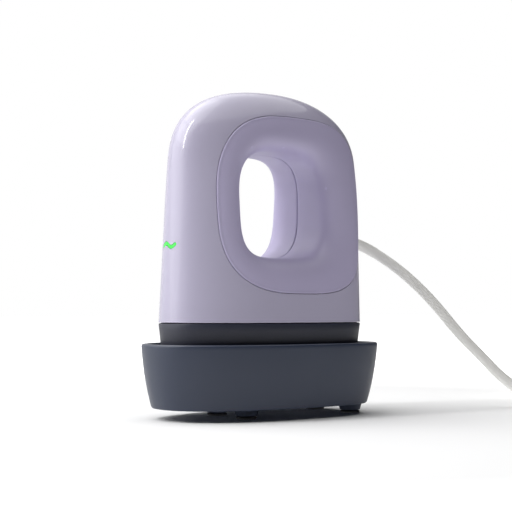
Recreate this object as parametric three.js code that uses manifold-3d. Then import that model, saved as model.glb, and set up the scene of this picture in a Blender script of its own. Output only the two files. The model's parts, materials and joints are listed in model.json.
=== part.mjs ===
// Mini heat press: a hand-held press with a see-through handle, standing in its safety tray.
// Millimetres, +Z up. The nose points along -X, the cord leaves along +X, and the press is
// symmetric about the plane Y = 0 apart from its electrics. The origin lies on the floor under
// the middle of the tray.

import * as THREE from 'three';
import { mergeVertices } from 'three/addons/utils/BufferGeometryUtils.js';
import Module from 'manifold-3d';

const wasm = await Module();
wasm.setup();

// Fits
const seatGap = 0.3;          // between two pieces that touch
const seamGap = 0.4;          // the fine line round each grip insert
const boreGap = 0.3;          // a screw shank or wire in its hole, on the radius
const slideGap = 0.2;         // a sliding piece in its guide, on the radius
const overcut = 1.0;          // how far a cutting solid runs past the face it opens

// Fineness
const sides = { large: 20, medium: 12, slim: 10, small: 8, wire: 6 };  // faces round a turned piece
const corners = { outer: 40, layer: 28, inner: 24, window: 48, plug: 16 };  // points round an outline
const domeLevels = { outer: 9, inner: 6 };  // rings between the shoulder and the crown
const spans = { cord: 20, rod: 20, tail: 16, wire: 14, sleeve: 8, bend: 6 };  // steps along a lead
const gripSteps = { flank: 2, lip: 5, innerFlank: 1, innerLip: 3 };  // rows across a grip insert
const coilSteps = 24;         // points in a turn of the coil

// Plan of the press where the housing meets the collar
const frontReach = 49.5;      // widest section to the nose
const rearReach = 41.5;       // widest section to the back
const halfWidth = 27.5;
const nosePower = 2.25;       // roundness of the plan in front of the widest section
const backPower = 3.45;       // squarer behind it
const crownPower = 2.2;       // roundness of the plan at the top

// Housing
const bodyHeight = 98.2;      // collar to the top of the handle
const frontTaper = 0.041;     // lost reach for each millimetre of height
const rearTaper = -0.026;     // the back leans outwards
const sideTaper = 0.075;
const frontShoulder = 66.1;   // height where the nose starts to round over
const rearShoulder = 69.6;
const sideShoulder = 41.7;
const frontShoulderPower = 2.58;
const rearShoulderPower = 2.33;
const sideShoulderPower = 2.84;
const crownBlendHeight = 40.7; // height where the plan starts to turn into the crown's
const shellWall = 2.2;
const ribWidth = 2.4;

// Outline of each grip insert on the flank, and of the handle hole through the middle
const insertLoop = { ahead: 1.0, height: 49.4, halfLength: 37.7, halfHeight: 37.4 };
const insertPowers = { upperNose: 2.6, lower: 3.1, upperBack: 4.0 };
const holeLoop = { ahead: -2.7, height: 49.5, halfLength: 20.9, halfHeight: 22.4 };
const holePowers = { upperNose: 2.85, lowerNose: 4.3, lowerBack: 3.1, upperBack: 3.3 };
const insertWall = 2.0;
const noseLip = { reach: 9.0, depth: 11.0 };  // run of the rounded lip over the flank and into the hole
const backLip = { reach: 4.5, depth: 12.0 };
const lipPower = 1.8;

// Heat plate and what lies on it, from the floor upwards
const footHeight = 4.6;       // floor to the lower edge of the tray
const footPadThickness = 0.9;
const skirtDepth = 2.1;       // lower edge to the underside of the tray's floor
const trayFloor = 2.2;
const restPadThickness = 2.2;
const plateFlange = 3.0;
const plateBoss = 2.3;
const elementDiameter = 5.0;
const clampThickness = 1.2;
const clampMargin = 2.4;      // clamp sheet inside the insulating board's outline
const insulationThickness = 6.9;
const shieldThickness = 0.7;
const webThickness = 2.5;
const collarRim = 4.5;        // collar above its web

// Collar and plate
const collarWall = 2.4;
const collarTaper = 0.1;      // lost reach for each millimetre below the rim
const plateMargin = 1.2;      // plate inside the collar's lower outline
const element = { rear: 22.5, bend: -15, halfGap: 13 };
const leadAhead = 4.5;        // element's end to the hole its lead climbs through
const leadBore = 1.9;
const plateScrews = [['front', -37], ['middle', -2], ['rear', 24]];
const housingScrews = [[-24, 14], [-24, -14], [34, 15], [34, -15]];
const housingScrewReach = 11;
const boardPosts = [[-17, 11], [22, -12], [-17, -11], [22, 12]];  // the first two take a screw
const boardPostRadius = 2.6;

// Tray
const trayWall = 2.6;
const trayDepth = 22.0;
const trayLowFlare = 3.2;     // tray outside the press outline at its foot
const trayMidFlare = 6.0;
const trayRimFlare = 7.4;
const traySideTrim = 1.9;     // less flare on the flanks than at the ends
const footRadius = 5.9;
const footTipRadius = 4.4;
const footPadInset = 0.2;
const trayFillet = 1.0;       // inner corner between floor and wall
const frontFoot = { x: -13.3, y: 10.5 };
const rearFoot = { x: 42.0, y: 12.0 };

// Screws: shank radius, head radius, head height
const smallScrew = { shank: 1.0, head: 2.0, headHeight: 1.5 };
const largeScrew = { shank: 1.3, head: 2.5, headHeight: 1.7 };
const bossWall = 1.8;         // plastic round a large screw's bore
const slimBossWall = 1.2;     // and round a small one's

// Electrics
const boardThickness = 1.6;
const powerBoard = { x: 5, y: 0, length: 49, width: 30, standoff: 5.9 };
const lightBoard = { width: 16, height: 16, pegSpread: 5.5 };
const controlBoard = { width: 18, height: 31, pegSpread: 13, drop: 0.5 };
const peg = { radius: 1.7, tip: 0.8, tipLength: 0.6 };
const cordRadius = 2.3;
const wireRadius = 0.9;
const cableRadius = 1.0;
const lightCable = { y: 4, drop: 5, out: 4.4, fall: 14, landX: -18, landY: 0 };
const controlCable = { y: -4, drop: 12, out: 4.5, fall: 22, landX: 28, landY: -8 };

// Components that stand on the heat plate, on the power board and on the tray's floor
const thermistor = { x: 11, y: 4.8, length: 6, width: 3.5, height: 2 };
const thermalFuse = { x: 11, y: -5, length: 10, radius: 2 };
const relay = { x: -6, y: -5, length: 19, width: 15, height: 15 };
const supply = { x: 16, y: -2, length: 20, width: 14, height: 12 };
const mainsFuse = { x: 4, y: 11, length: 18, radius: 2.6 };
const terminals = { x: 24.5, y: 10, length: 11, width: 9, height: 10 };
const controlChip = { width: 7, height: 7, thickness: 1.5 };
const lightSource = { width: 6, height: 2.6, thickness: 1.2 };
const frontPad = { x: -16, y: 0, length: 16, width: 22, height: restPadThickness };
const rearPad = { x: 17.5, y: 0, length: 19, width: 32, height: restPadThickness };

// Power button in the back of the handle, and the light in the nose
const buttonHeight = 60.7;
const buttonRadius = 5.0;
const buttonTravel = 0.5;
const buttonProud = 0.4;
const buttonFlange = 1.6;
const buttonRim = 1.2;        // flange outside the button's bore, on the radius
const buttonStem = { radius: 2.0, length: 2.2 };
const buttonChamfer = 0.4;
const plungerRadius = 1.4;
const plungerLength = 1.7;
const plungerProud = 0.8;     // plunger above its switch
const switchSize = { width: 6, depth: 3.5 };
const lightHeight = 31.85;
const lightOffset = 1.3;      // the wave lies a little to the right of the middle
const waveLength = 8.1;
const waveSpan = 8.9;
const waveRise = 0.8;
const waveStroke = 1.35;
const lightDepth = 5.2;

// Strain relief in the back of the housing
const reliefHeight = 36.3;
const reliefTail = 20.5;      // sleeve outside the housing, along the cord
const reliefNeck = 4.0;
const reliefFlange = { radius: 6.0, thickness: 3.4 };
const reliefBead = { radius: 5.2, thickness: 1.4, bevel: 0.4 };
const reliefTaper = { from: 4.0, to: 2.7 };
const reliefPlate = { length: 26, height: 9, thickness: 2 };
const reliefScrewSpread = 9.5;
const reliefScrewReach = 2.1; // shank inside its boss

// Cord and plug
const coilPitch = 5.1;
const coilLayers = 4;
const layerTurns = 2.25;
const coilOuter = 32.4;       // radius of the outermost turn's centreline
const coilPlace = { x: 200, y: -47.5 };
const coilEntry = new THREE.Vector3(coilPlace.x, coilPlace.y, cordRadius);
const coilHeading = new THREE.Vector3(1, 0, 0);
const coilRun = 24;           // straight run on the floor before the first turn
const plugHalfHeight = 8.5;
const plugHalfWidth = 12.5;
const plugLength = 30;
const plugNeck = { radius: 3.4, length: 8, flare: 4.2 };
const plugShoulder = { start: 12, halfWidth: 8.5, halfHeight: 6.5, end: 16 };
const plugEdge = { length: 1, inset: 0.5 };
const plugSquareness = 0.6;
const plugStand = { x: 253.5, y: -11 };
const plugPlace = new THREE.Vector3(plugStand.x, plugStand.y, plugHalfHeight);
const plugTurn = 1.4;
const plugRun = 5;            // straight end of the cord before the plug
const blade = { spread: 6.35, length: 17, width: 6.3, thickness: 1.5 };

// Heights worked out from the stack
const floorBottom = footHeight + skirtDepth;
const floorTop = floorBottom + trayFloor;
const padTop = floorTop + seatGap + restPadThickness;
const plateBottom = padTop + seatGap;
const flangeTop = plateBottom + plateFlange;
const plateTop = flangeTop + plateBoss;
const elementTop = plateTop + seatGap + elementDiameter;
const clampBottom = elementTop + seatGap;
const clampTop = clampBottom + clampThickness;
const insulationBottom = clampTop + seatGap;
const insulationTop = insulationBottom + insulationThickness;
const shieldBottom = insulationTop + seatGap;
const shieldTop = shieldBottom + shieldThickness;
const webBottom = shieldTop + seatGap;
const webTop = webBottom + webThickness;
const collarTop = webTop + collarRim;
const bodyBase = collarTop + seatGap;
const trayRim = floorTop + trayDepth;
const widestX = (frontReach - rearReach) / 2;
const elementLevel = plateTop + seatGap + elementDiameter / 2;
const leadPlace = { x: element.rear + leadAhead, y: element.halfGap };
const boardBottom = webTop + powerBoard.standoff;
const boardTop = boardBottom + boardThickness;
const onBoard = boardTop + seatGap;
const postTop = boardBottom - seatGap;
const largeBoss = largeScrew.shank + boreGap + bossWall;
const lightZ = collarTop + lightHeight;
const buttonZ = collarTop + buttonHeight;
const reliefZ = collarTop + reliefHeight;

// Helpers

const clamp01 = (value) => Math.min(1, Math.max(0, value));

// A closed geometry as a solid that can be cut and joined.
function solid(geometry) {
  const bare = geometry.clone();
  bare.deleteAttribute('normal');
  bare.deleteAttribute('uv');
  const merged = mergeVertices(bare, 1e-4);
  return new wasm.Manifold(new wasm.Mesh({
    numProp: 3,
    vertProperties: new Float32Array(merged.attributes.position.array),
    triVerts: new Uint32Array(merged.index.array),
  }));
}

function geometryOf(body) {
  const mesh = body.getMesh();
  const geometry = new THREE.BufferGeometry();
  geometry.setAttribute('position', new THREE.BufferAttribute(mesh.vertProperties, 3));
  geometry.setIndex(new THREE.BufferAttribute(mesh.triVerts, 1));
  geometry.computeVertexNormals();
  return geometry;
}

function fromFaces(points, faces) {
  const geometry = new THREE.BufferGeometry();
  const places = points.flatMap((p) => [p.x, p.y, p.z]);
  geometry.setAttribute('position', new THREE.Float32BufferAttribute(places, 3));
  geometry.setIndex(faces);
  geometry.computeVertexNormals();
  return geometry;
}

// Faces between two rings of points; the rings run anticlockwise seen from the second.
function band(faces, from, to, count) {
  for (let i = 0; i < count; i++) {
    const j = (i + 1) % count;
    faces.push(from + i, from + j, to + j, from + i, to + j, to + i);
  }
}

// A solid through rings stacked upwards, closed with a flat or pointed end.
function loft(rings) {
  const count = rings[0].length;
  const points = rings.flat();
  const faces = [];
  for (let k = 0; k + 1 < rings.length; k++) band(faces, k * count, (k + 1) * count, count);
  const middle = (ring) => ring.reduce((sum, p) => sum.add(p), new THREE.Vector3()).divideScalar(count);
  const first = points.push(middle(rings[0])) - 1;
  const last = points.push(middle(rings[rings.length - 1])) - 1;
  const top = (rings.length - 1) * count;
  for (let i = 0; i < count; i++) {
    const j = (i + 1) % count;
    faces.push(first, j, i, last, top + i, top + j);
  }
  return fromFaces(points, faces);
}

// A ring-shaped solid: rings of points that follow a closed profile round and back.
function hoop(rings) {
  const count = rings[0].length;
  const faces = [];
  for (let k = 0; k < rings.length; k++) band(faces, k * count, ((k + 1) % rings.length) * count, count);
  return fromFaces(rings.flat(), faces);
}

// A block standing on a height, and a panel square to the X axis.
const blockOn = (z, { x, y, length, width, height }) =>
  new THREE.BoxGeometry(length, width, height).translate(x, y, z + height / 2);
const panelX = (x0, x1, z, width, height) =>
  new THREE.BoxGeometry(x1 - x0, width, height).translate((x0 + x1) / 2, 0, z);

// A round bar along Z or along X.
const postZ = (x, y, z0, z1, radius, count = sides.medium, tip = radius) =>
  new THREE.CylinderGeometry(radius, tip, z1 - z0, count)
    .rotateX(Math.PI / 2).translate(x, y, (z0 + z1) / 2);
const postX = (x0, x1, y, z, radius, count = sides.medium) =>
  new THREE.CylinderGeometry(radius, radius, x1 - x0, count)
    .rotateZ(-Math.PI / 2).translate((x0 + x1) / 2, y, z);

// A bore along Z or along X for a screw's shank.
const boreZ = (x, y, z0, z1, size) =>
  solid(postZ(x, y, z0 - overcut, z1 + overcut, size.shank + boreGap, sides.small));
const boreX = (x0, x1, y, z, size) =>
  solid(postX(x0 - overcut, x1 + overcut, y, z, size.shank + boreGap, sides.small));

// A turned solid round the X axis from (x, radius) pairs.
const turnedX = (profile, z, count) =>
  new THREE.LatheGeometry(profile.map(([x, radius]) => new THREE.Vector2(radius, x)), count)
    .rotateZ(-Math.PI / 2).translate(0, 0, z);

function circle(radius, count) {
  const shape = new THREE.Shape();
  for (let i = 0; i < count; i++) {
    const angle = (2 * Math.PI * (i + 0.5)) / count;
    const point = new THREE.Vector2(radius * Math.cos(angle), radius * Math.sin(angle));
    if (i === 0) shape.moveTo(point.x, point.y);
    else shape.lineTo(point.x, point.y);
  }
  shape.closePath();
  return shape;
}

// A round lead through hand-picked points.
function lead(points, radius, count, steps) {
  const extrudePath = new THREE.CatmullRomCurve3(points.map((point) => new THREE.Vector3(...point)));
  return new THREE.ExtrudeGeometry(circle(radius, count), { steps, extrudePath, bevelEnabled: false });
}

// Plan of the press: a rounded outline, wider behind than in front.
function planRing(z, front, rear, side, frontPower, rearPower, count) {
  const ring = [];
  for (let i = 0; i < count; i++) {
    const angle = (2 * Math.PI * i) / count;
    const c = Math.cos(angle);
    const s = Math.sin(angle);
    const power = c < 0 ? frontPower : rearPower;
    const reach = c < 0 ? front : rear;
    const x = Math.sign(c) * reach * Math.abs(c) ** (2 / power);
    const y = Math.sign(s) * side * Math.abs(s) ** (2 / power);
    ring.push(new THREE.Vector3(widestX + x, y, z));
  }
  return ring;
}

// The same outline grown by a margin, with an own margin for the flanks.
const outlineRing = (z, margin, sideMargin = margin, count = corners.outer) =>
  planRing(z, frontReach + margin, rearReach + margin, halfWidth + sideMargin, nosePower, backPower, count);

const plateOf = (z0, z1, margin, count = corners.layer) =>
  loft([outlineRing(z0, margin, margin, count), outlineRing(z1, margin, margin, count)]);

// Reach of the housing at a height above the collar; an inset gives its inner surface.
function housingReach(base, taper, shoulder, power, height, inset) {
  const over = clamp01((height - shoulder) / (bodyHeight - inset - shoulder));
  return (base - inset - taper * height) * (1 - over ** power) ** (1 / power);
}

function housingSection(height, inset = 0) {
  const crown = clamp01((height - crownBlendHeight) / (bodyHeight - inset - crownBlendHeight)) ** 2;
  return {
    front: housingReach(frontReach, frontTaper, frontShoulder, frontShoulderPower, height, inset),
    rear: housingReach(rearReach, rearTaper, rearShoulder, rearShoulderPower, height, inset),
    side: housingReach(halfWidth, sideTaper, sideShoulder, sideShoulderPower, height, inset),
    frontPower: nosePower + (crownPower - nosePower) * crown,
    rearPower: backPower + (crownPower - backPower) * crown,
  };
}

// Half width of the housing at a place on its side view.
function flankAt(x, z) {
  const at = housingSection(z - collarTop);
  const power = x < widestX ? at.frontPower : at.rearPower;
  const share = Math.abs(x - widestX) / (x < widestX ? at.front : at.rear);
  return at.side * clamp01(1 - share ** power) ** (1 / power);
}

const noseX = (z, inset = 0) => widestX - housingSection(z - collarTop, inset).front;
const backX = (z, inset = 0) => widestX + housingSection(z - collarTop, inset).rear;

function housingSolid(inset, count, levels, base) {
  const heights = [base - collarTop, 0.4 * sideShoulder];
  const dome = bodyHeight - inset - sideShoulder;
  for (let k = 0; k < levels; k++) heights.push(sideShoulder + dome * Math.sin((k * Math.PI) / 2 / levels));
  heights.push(bodyHeight - inset - 0.004 * dome);
  return loft(heights.map((height) => {
    const at = housingSection(height, inset);
    return planRing(collarTop + height, at.front, at.rear, at.side, at.frontPower, at.rearPower, count);
  }));
}

// A point on a loop in the side view.
function loopPoint(loop, power, angle, grow = 0) {
  const c = Math.cos(angle);
  const s = Math.sin(angle);
  return {
    x: widestX + loop.ahead + Math.sign(c) * (loop.halfLength + grow) * Math.abs(c) ** (2 / power),
    z: collarTop + loop.height + Math.sign(s) * (loop.halfHeight + grow) * Math.abs(s) ** (2 / power),
  };
}

function insertEdge(angle, grow = 0) {
  const upper = Math.cos(angle) < 0 ? insertPowers.upperNose : insertPowers.upperBack;
  const power = Math.sin(angle) > 0 ? upper : insertPowers.lower;
  return loopPoint(insertLoop, power, angle, grow);
}

function holeEdge(angle, grow = 0) {
  const end = Math.cos(angle) < 0 ? 'Nose' : 'Back';
  return loopPoint(holeLoop, holePowers[(Math.sin(angle) > 0 ? 'upper' : 'lower') + end], angle, grow);
}

// A bar with the insert's outline through both flanks.
function insertPrism() {
  const count = corners.window;
  const outline = [];
  for (let i = 0; i < count; i++) {
    const { x, z } = insertEdge((2 * Math.PI * i) / count);
    outline.push(new THREE.Vector2(x, z));
  }
  const depth = 4 * halfWidth;
  return new THREE.ExtrudeGeometry(new THREE.Shape(outline), { depth, bevelEnabled: false })
    .rotateX(Math.PI / 2).translate(0, depth / 2, 0);
}

// One dished insert: over the flank from its edge, round the lip, and in to the middle plane.
// side is -1 for the left insert and 1 for the right one.
function gripInsert(side) {
  const count = corners.outer;
  const surface = (inset, flankSteps, lipSteps) => {
    const stations = [];
    for (let k = 0; k < flankSteps; k++) stations.push({ flank: 1 - k / flankSteps });
    for (let k = 0; k <= lipSteps; k++) stations.push({ turn: (k / lipSteps) * (Math.PI / 2) });
    stations.push({ middle: true });
    return stations.map((station) => {
      const ring = [];
      for (let i = 0; i < count; i++) {
        const angle = (2 * Math.PI * i) / count;
        const edge = insertEdge(angle, -seamGap);
        const hole = holeEdge(angle, inset);
        const gap = Math.hypot(edge.x - hole.x, edge.z - hole.z);
        const noseShare = (1 - Math.cos(angle)) / 2;
        const across = THREE.MathUtils.lerp(backLip.reach, noseLip.reach, noseShare) - inset;
        const deep = THREE.MathUtils.lerp(backLip.depth, noseLip.depth, noseShare) - inset;
        const turn = station.turn ?? 0;
        const rolled = station.middle ? 0 : across * (1 - Math.sin(turn) ** (2 / lipPower));
        const away = station.flank === undefined ? rolled : across + (gap - across) * station.flank;
        const out = away / gap;
        const x = hole.x + (edge.x - hole.x) * out;
        const z = hole.z + (edge.z - hole.z) * out;
        const drop = inset + deep * (1 - Math.cos(turn) ** (2 / lipPower));
        const y = station.middle ? seatGap / 2 : flankAt(x, z) - drop;
        ring.push(new THREE.Vector3(x, side * y, z));
      }
      return ring;
    });
  };
  const outer = surface(0, gripSteps.flank, gripSteps.lip);
  const inner = surface(insertWall, gripSteps.innerFlank, gripSteps.innerLip).reverse();
  const rings = [...outer, ...inner];
  return hoop(side < 0 ? rings : rings.reverse());
}

// Outline of the wavy light in the YZ plane.
function waveShape(halfStroke) {
  const steps = 14;
  const upper = [];
  const lower = [];
  for (let i = 0; i <= steps; i++) {
    const y = waveSpan * (i / steps - 0.5);
    const phase = (2 * Math.PI * y) / waveLength;
    const slope = (2 * Math.PI * waveRise * Math.cos(phase)) / waveLength;
    const across = new THREE.Vector2(-slope, 1).normalize().multiplyScalar(halfStroke);
    const centre = new THREE.Vector2(y, waveRise * Math.sin(phase));
    upper.push(centre.clone().add(across));
    lower.push(centre.clone().sub(across));
  }
  const tip = (at, way) => new THREE.Vector2(at.x + way * halfStroke, at.y);
  const middle = (a, b) => a.clone().add(b).multiplyScalar(0.5);
  const right = tip(middle(upper[steps], lower[steps]), 1);
  const left = tip(middle(upper[0], lower[0]), -1);
  return new THREE.Shape([...lower, right, ...upper.reverse(), left]);
}

function waveBar(x0, x1, halfStroke) {
  const turn = new THREE.Matrix4().makeBasis(
    new THREE.Vector3(0, 1, 0), new THREE.Vector3(0, 0, 1), new THREE.Vector3(1, 0, 0));
  return new THREE.ExtrudeGeometry(waveShape(halfStroke), { depth: x1 - x0, bevelEnabled: false })
    .applyMatrix4(turn).translate(x0, lightOffset, collarTop + lightHeight);
}

// A screw whose head sits at z, with its shank going up (way 1) or down (way -1).
function screw(size, length) {
  const { shank, head, headHeight } = size;
  return new THREE.LatheGeometry([
    new THREE.Vector2(0, -headHeight), new THREE.Vector2(head * 0.8, -headHeight),
    new THREE.Vector2(head, -headHeight * 0.6), new THREE.Vector2(head, 0),
    new THREE.Vector2(shank, 0), new THREE.Vector2(shank, length), new THREE.Vector2(0, length),
  ], sides.slim);
}
const screwUp = (size, length, x, y, z) => screw(size, length).rotateX(Math.PI / 2).translate(x, y, z);
const screwDown = (size, length, x, y, z) => screw(size, length).rotateX(-Math.PI / 2).translate(x, y, z);
const screwBack = (size, length, x, y, z) => screw(size, length).rotateZ(-Math.PI / 2).translate(x, y, z);

// Materials
const finish = (color, roughness, metalness = 0) =>
  new THREE.MeshStandardMaterial({ color, roughness, metalness });
const lilac = finish(0xb3aec8, 0.25);
const charcoal = finish(0x43454f, 0.5);
const slate = finish(0x4b5161, 0.6);
const rubber = finish(0x1c1c1f, 0.85);
const ceramicCoat = finish(0x8f9296, 0.35, 0.4);
const steel = finish(0xb4b6b8, 0.35, 1);
const sheet = finish(0xc4c6c8, 0.3, 1);
const fibre = finish(0xd9d3c3, 0.95);
const board = finish(0x1f5a38, 0.55);
const blackPlastic = finish(0x202124, 0.5);
const bluePlastic = finish(0x2c5a9c, 0.45);
const glow = finish(0x4fe35f, 0.4);
const cordWhite = finish(0xc9c9c4, 0.5);
const brass = finish(0xb9a05a, 0.35, 1);
const silicone = finish(0x6a6d74, 0.8);
const greenPlastic = finish(0x2f7a4a, 0.5);

const press = new THREE.Group();
const base = new THREE.Group();
const cord = new THREE.Group();

function piece(group, name, geometry, material) {
  const mesh = new THREE.Mesh(geometry, material.clone());
  mesh.name = name;
  group.add(mesh);
  return mesh;
}

// A tube with a ring of corners at each point, turned as little as possible between rings
function tubeThrough(points, radiusAt, count) {
  const up = new THREE.Vector3(0, 0, 1);
  return loft(points.map((point, i) => {
    const before = points[Math.max(0, i - 1)];
    const after = points[Math.min(points.length - 1, i + 1)];
    const along = after.clone().sub(before).normalize();
    const across = new THREE.Vector3().crossVectors(up, along).normalize();
    const lift = new THREE.Vector3().crossVectors(along, across);
    const radius = radiusAt(i);
    return Array.from({ length: count }, (_, k) => {
      const angle = (2 * Math.PI * k) / count;
      const corner = point.clone().addScaledVector(across, radius * Math.cos(angle));
      return corner.addScaledVector(lift, radius * Math.sin(angle));
    });
  }));
}

// Points given as steps away from a place
const stepsFrom = (place, steps) => steps.map(([x, y, z]) => new THREE.Vector3(x, y, z).add(place));

// The cord's line: it hangs from the back of the housing, lands, and lies down to the coil
const cordExit = new THREE.Vector3(backX(reliefZ), 0, reliefZ);
const coilStart = coilEntry.clone().addScaledVector(coilHeading, -coilRun);
const cordLine = new THREE.CatmullRomCurve3([
  ...stepsFrom(cordExit, [
    [0, 0, 0], [3.8, 0, 0], [8.0, 0, -0.1], [11.9, -0.3, -1.0], [17.7, -1.9, -3.7], [22.6, -4.9, -7.3],
    [26.9, -7.9, -11.0], [34.0, -12.9, -18.3], [42.8, -18.9, -29.3], [47.7, -22.2, -36.6],
    [52.9, -25.8, -44.0], [59.0, -30.0, -51.3], [66.2, -35.2, -60.7]]),
  ...stepsFrom(coilStart, [
    [-55.5, 6.4, 5.3], [-47.0, 2.1, 1.6], [-38.0, 0.2, 0.4], [-26.0, -0.1, 0.1], [0, 0, 0]]),
]);

// Points along that line between two lengths from the housing
function stretch(from, to, count) {
  const whole = cordLine.getLength();
  return Array.from({ length: count + 1 }, (_, i) =>
    cordLine.getPointAt(THREE.MathUtils.lerp(from, to, i / count) / whole));
}

// Holes that every layer between the plate and the collar's web shares
function pierced(layer, z0, z1) {
  let cut = layer;
  for (const [, x] of plateScrews) cut = cut.subtract(boreZ(x, 0, z0, z1, largeScrew));
  for (const y of [-leadPlace.y, leadPlace.y]) {
    cut = cut.subtract(solid(postZ(leadPlace.x, y, z0 - overcut, z1 + overcut, leadBore, sides.small)));
  }
  return cut;
}

// And the openings round the heads of the housing's screws
function clearOfHeads(layer, z0, z1) {
  let cut = layer;
  for (const [x, y] of housingScrews) {
    cut = cut.subtract(solid(postZ(x, y, z0 - overcut, z1 + overcut, largeScrew.head + 2 * seatGap)));
  }
  return cut;
}

// Heat plate: a flange the size of the collar's foot, with a raised middle that carries three posts
{
  const collarBottom = flangeTop + seatGap;
  const foot = -collarTaper * (collarTop - collarBottom);
  const inside = foot - collarWall - 2 * seatGap;
  let plate = solid(plateOf(plateBottom, flangeTop, foot - plateMargin));
  plate = plate.add(solid(plateOf(flangeTop - overcut, plateTop, inside)));
  for (const [, x] of plateScrews) {
    plate = plate.add(solid(postZ(x, 0, plateTop - overcut, clampBottom - seatGap, largeBoss)));
    plate = plate.subtract(boreZ(x, 0, flangeTop + overcut, clampBottom, largeScrew));
  }
  piece(press, 'heat_plate', geometryOf(plate), ceramicCoat);

  // Heating element: a U-shaped rod on the plate, with the two heat sensors between its legs
  const onPlate = plateTop + seatGap;
  const bend = [];
  for (let k = 0; k <= spans.bend; k++) {
    const angle = Math.PI / 2 + (Math.PI * k) / spans.bend;
    const x = element.bend + element.halfGap * Math.cos(angle);
    bend.push([x, element.halfGap * Math.sin(angle), elementLevel]);
  }
  const leg = (y) => [[element.rear, y, elementLevel], [0, y, elementLevel]];
  const route = [...leg(element.halfGap), ...bend, ...leg(-element.halfGap).reverse()];
  piece(press, 'heating_element', lead(route, elementDiameter / 2, sides.small, spans.rod), steel);
  piece(press, 'thermistor', blockOn(onPlate, thermistor), blackPlastic);
  const { x, y, length, radius } = thermalFuse;
  piece(press, 'thermal_fuse', postX(x - length / 2, x + length / 2, y, onPlate + radius, radius), brass);

  // Sheet that holds the element down, insulating board, and the shield above it
  const clamp = pierced(solid(plateOf(clampBottom, clampTop, inside - clampMargin)), clampBottom, clampTop);
  piece(press, 'clamp_plate', geometryOf(clamp), sheet);
  for (const [name, z0, z1, material] of [
    ['insulation_board', insulationBottom, insulationTop, fibre],
    ['heat_shield', shieldBottom, shieldTop, sheet],
  ]) {
    const layer = clearOfHeads(pierced(solid(plateOf(z0, z1, inside)), z0, z1), z0, z1);
    piece(press, name, geometryOf(layer), material);
  }

  // Collar: a skirt round the plate, with a web across that carries the electrics
  const hollow = (z0, z1, margin) => solid(plateOf(z0, z1, margin));
  let collar = solid(loft([outlineRing(collarBottom, foot), outlineRing(collarTop, 0)]));
  collar = collar.subtract(hollow(collarBottom - overcut, webBottom, foot - collarWall));
  collar = collar.subtract(hollow(webTop, collarTop + overcut, -collarWall));
  for (const [x, y] of housingScrews) {
    collar = collar.add(solid(postZ(x, y, webTop - overcut, collarTop, largeBoss)));
    collar = collar.subtract(boreZ(x, y, webBottom, collarTop, largeScrew));
  }
  boardPosts.forEach(([x, y], i) => {
    collar = collar.add(solid(postZ(x, y, webTop - overcut, postTop, boardPostRadius)));
    if (i < 2) collar = collar.subtract(boreZ(x, y, webTop + 2 * overcut, postTop, smallScrew));
  });
  piece(press, 'collar', geometryOf(pierced(collar, webBottom, webTop)), charcoal);

  const onWeb = webTop + seatGap;
  plateScrews.forEach(([place, x]) => {
    const screwLength = onWeb - flangeTop - overcut;
    piece(press, `plate_screw_${place}`, screwDown(largeScrew, screwLength, x, 0, onWeb), steel);
  });
  housingScrews.forEach(([x, y], i) => {
    const head = webBottom - seatGap;
    piece(press, `housing_screw_${i + 1}`, screwUp(largeScrew, housingScrewReach, x, y, head), steel);
  });
}

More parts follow.
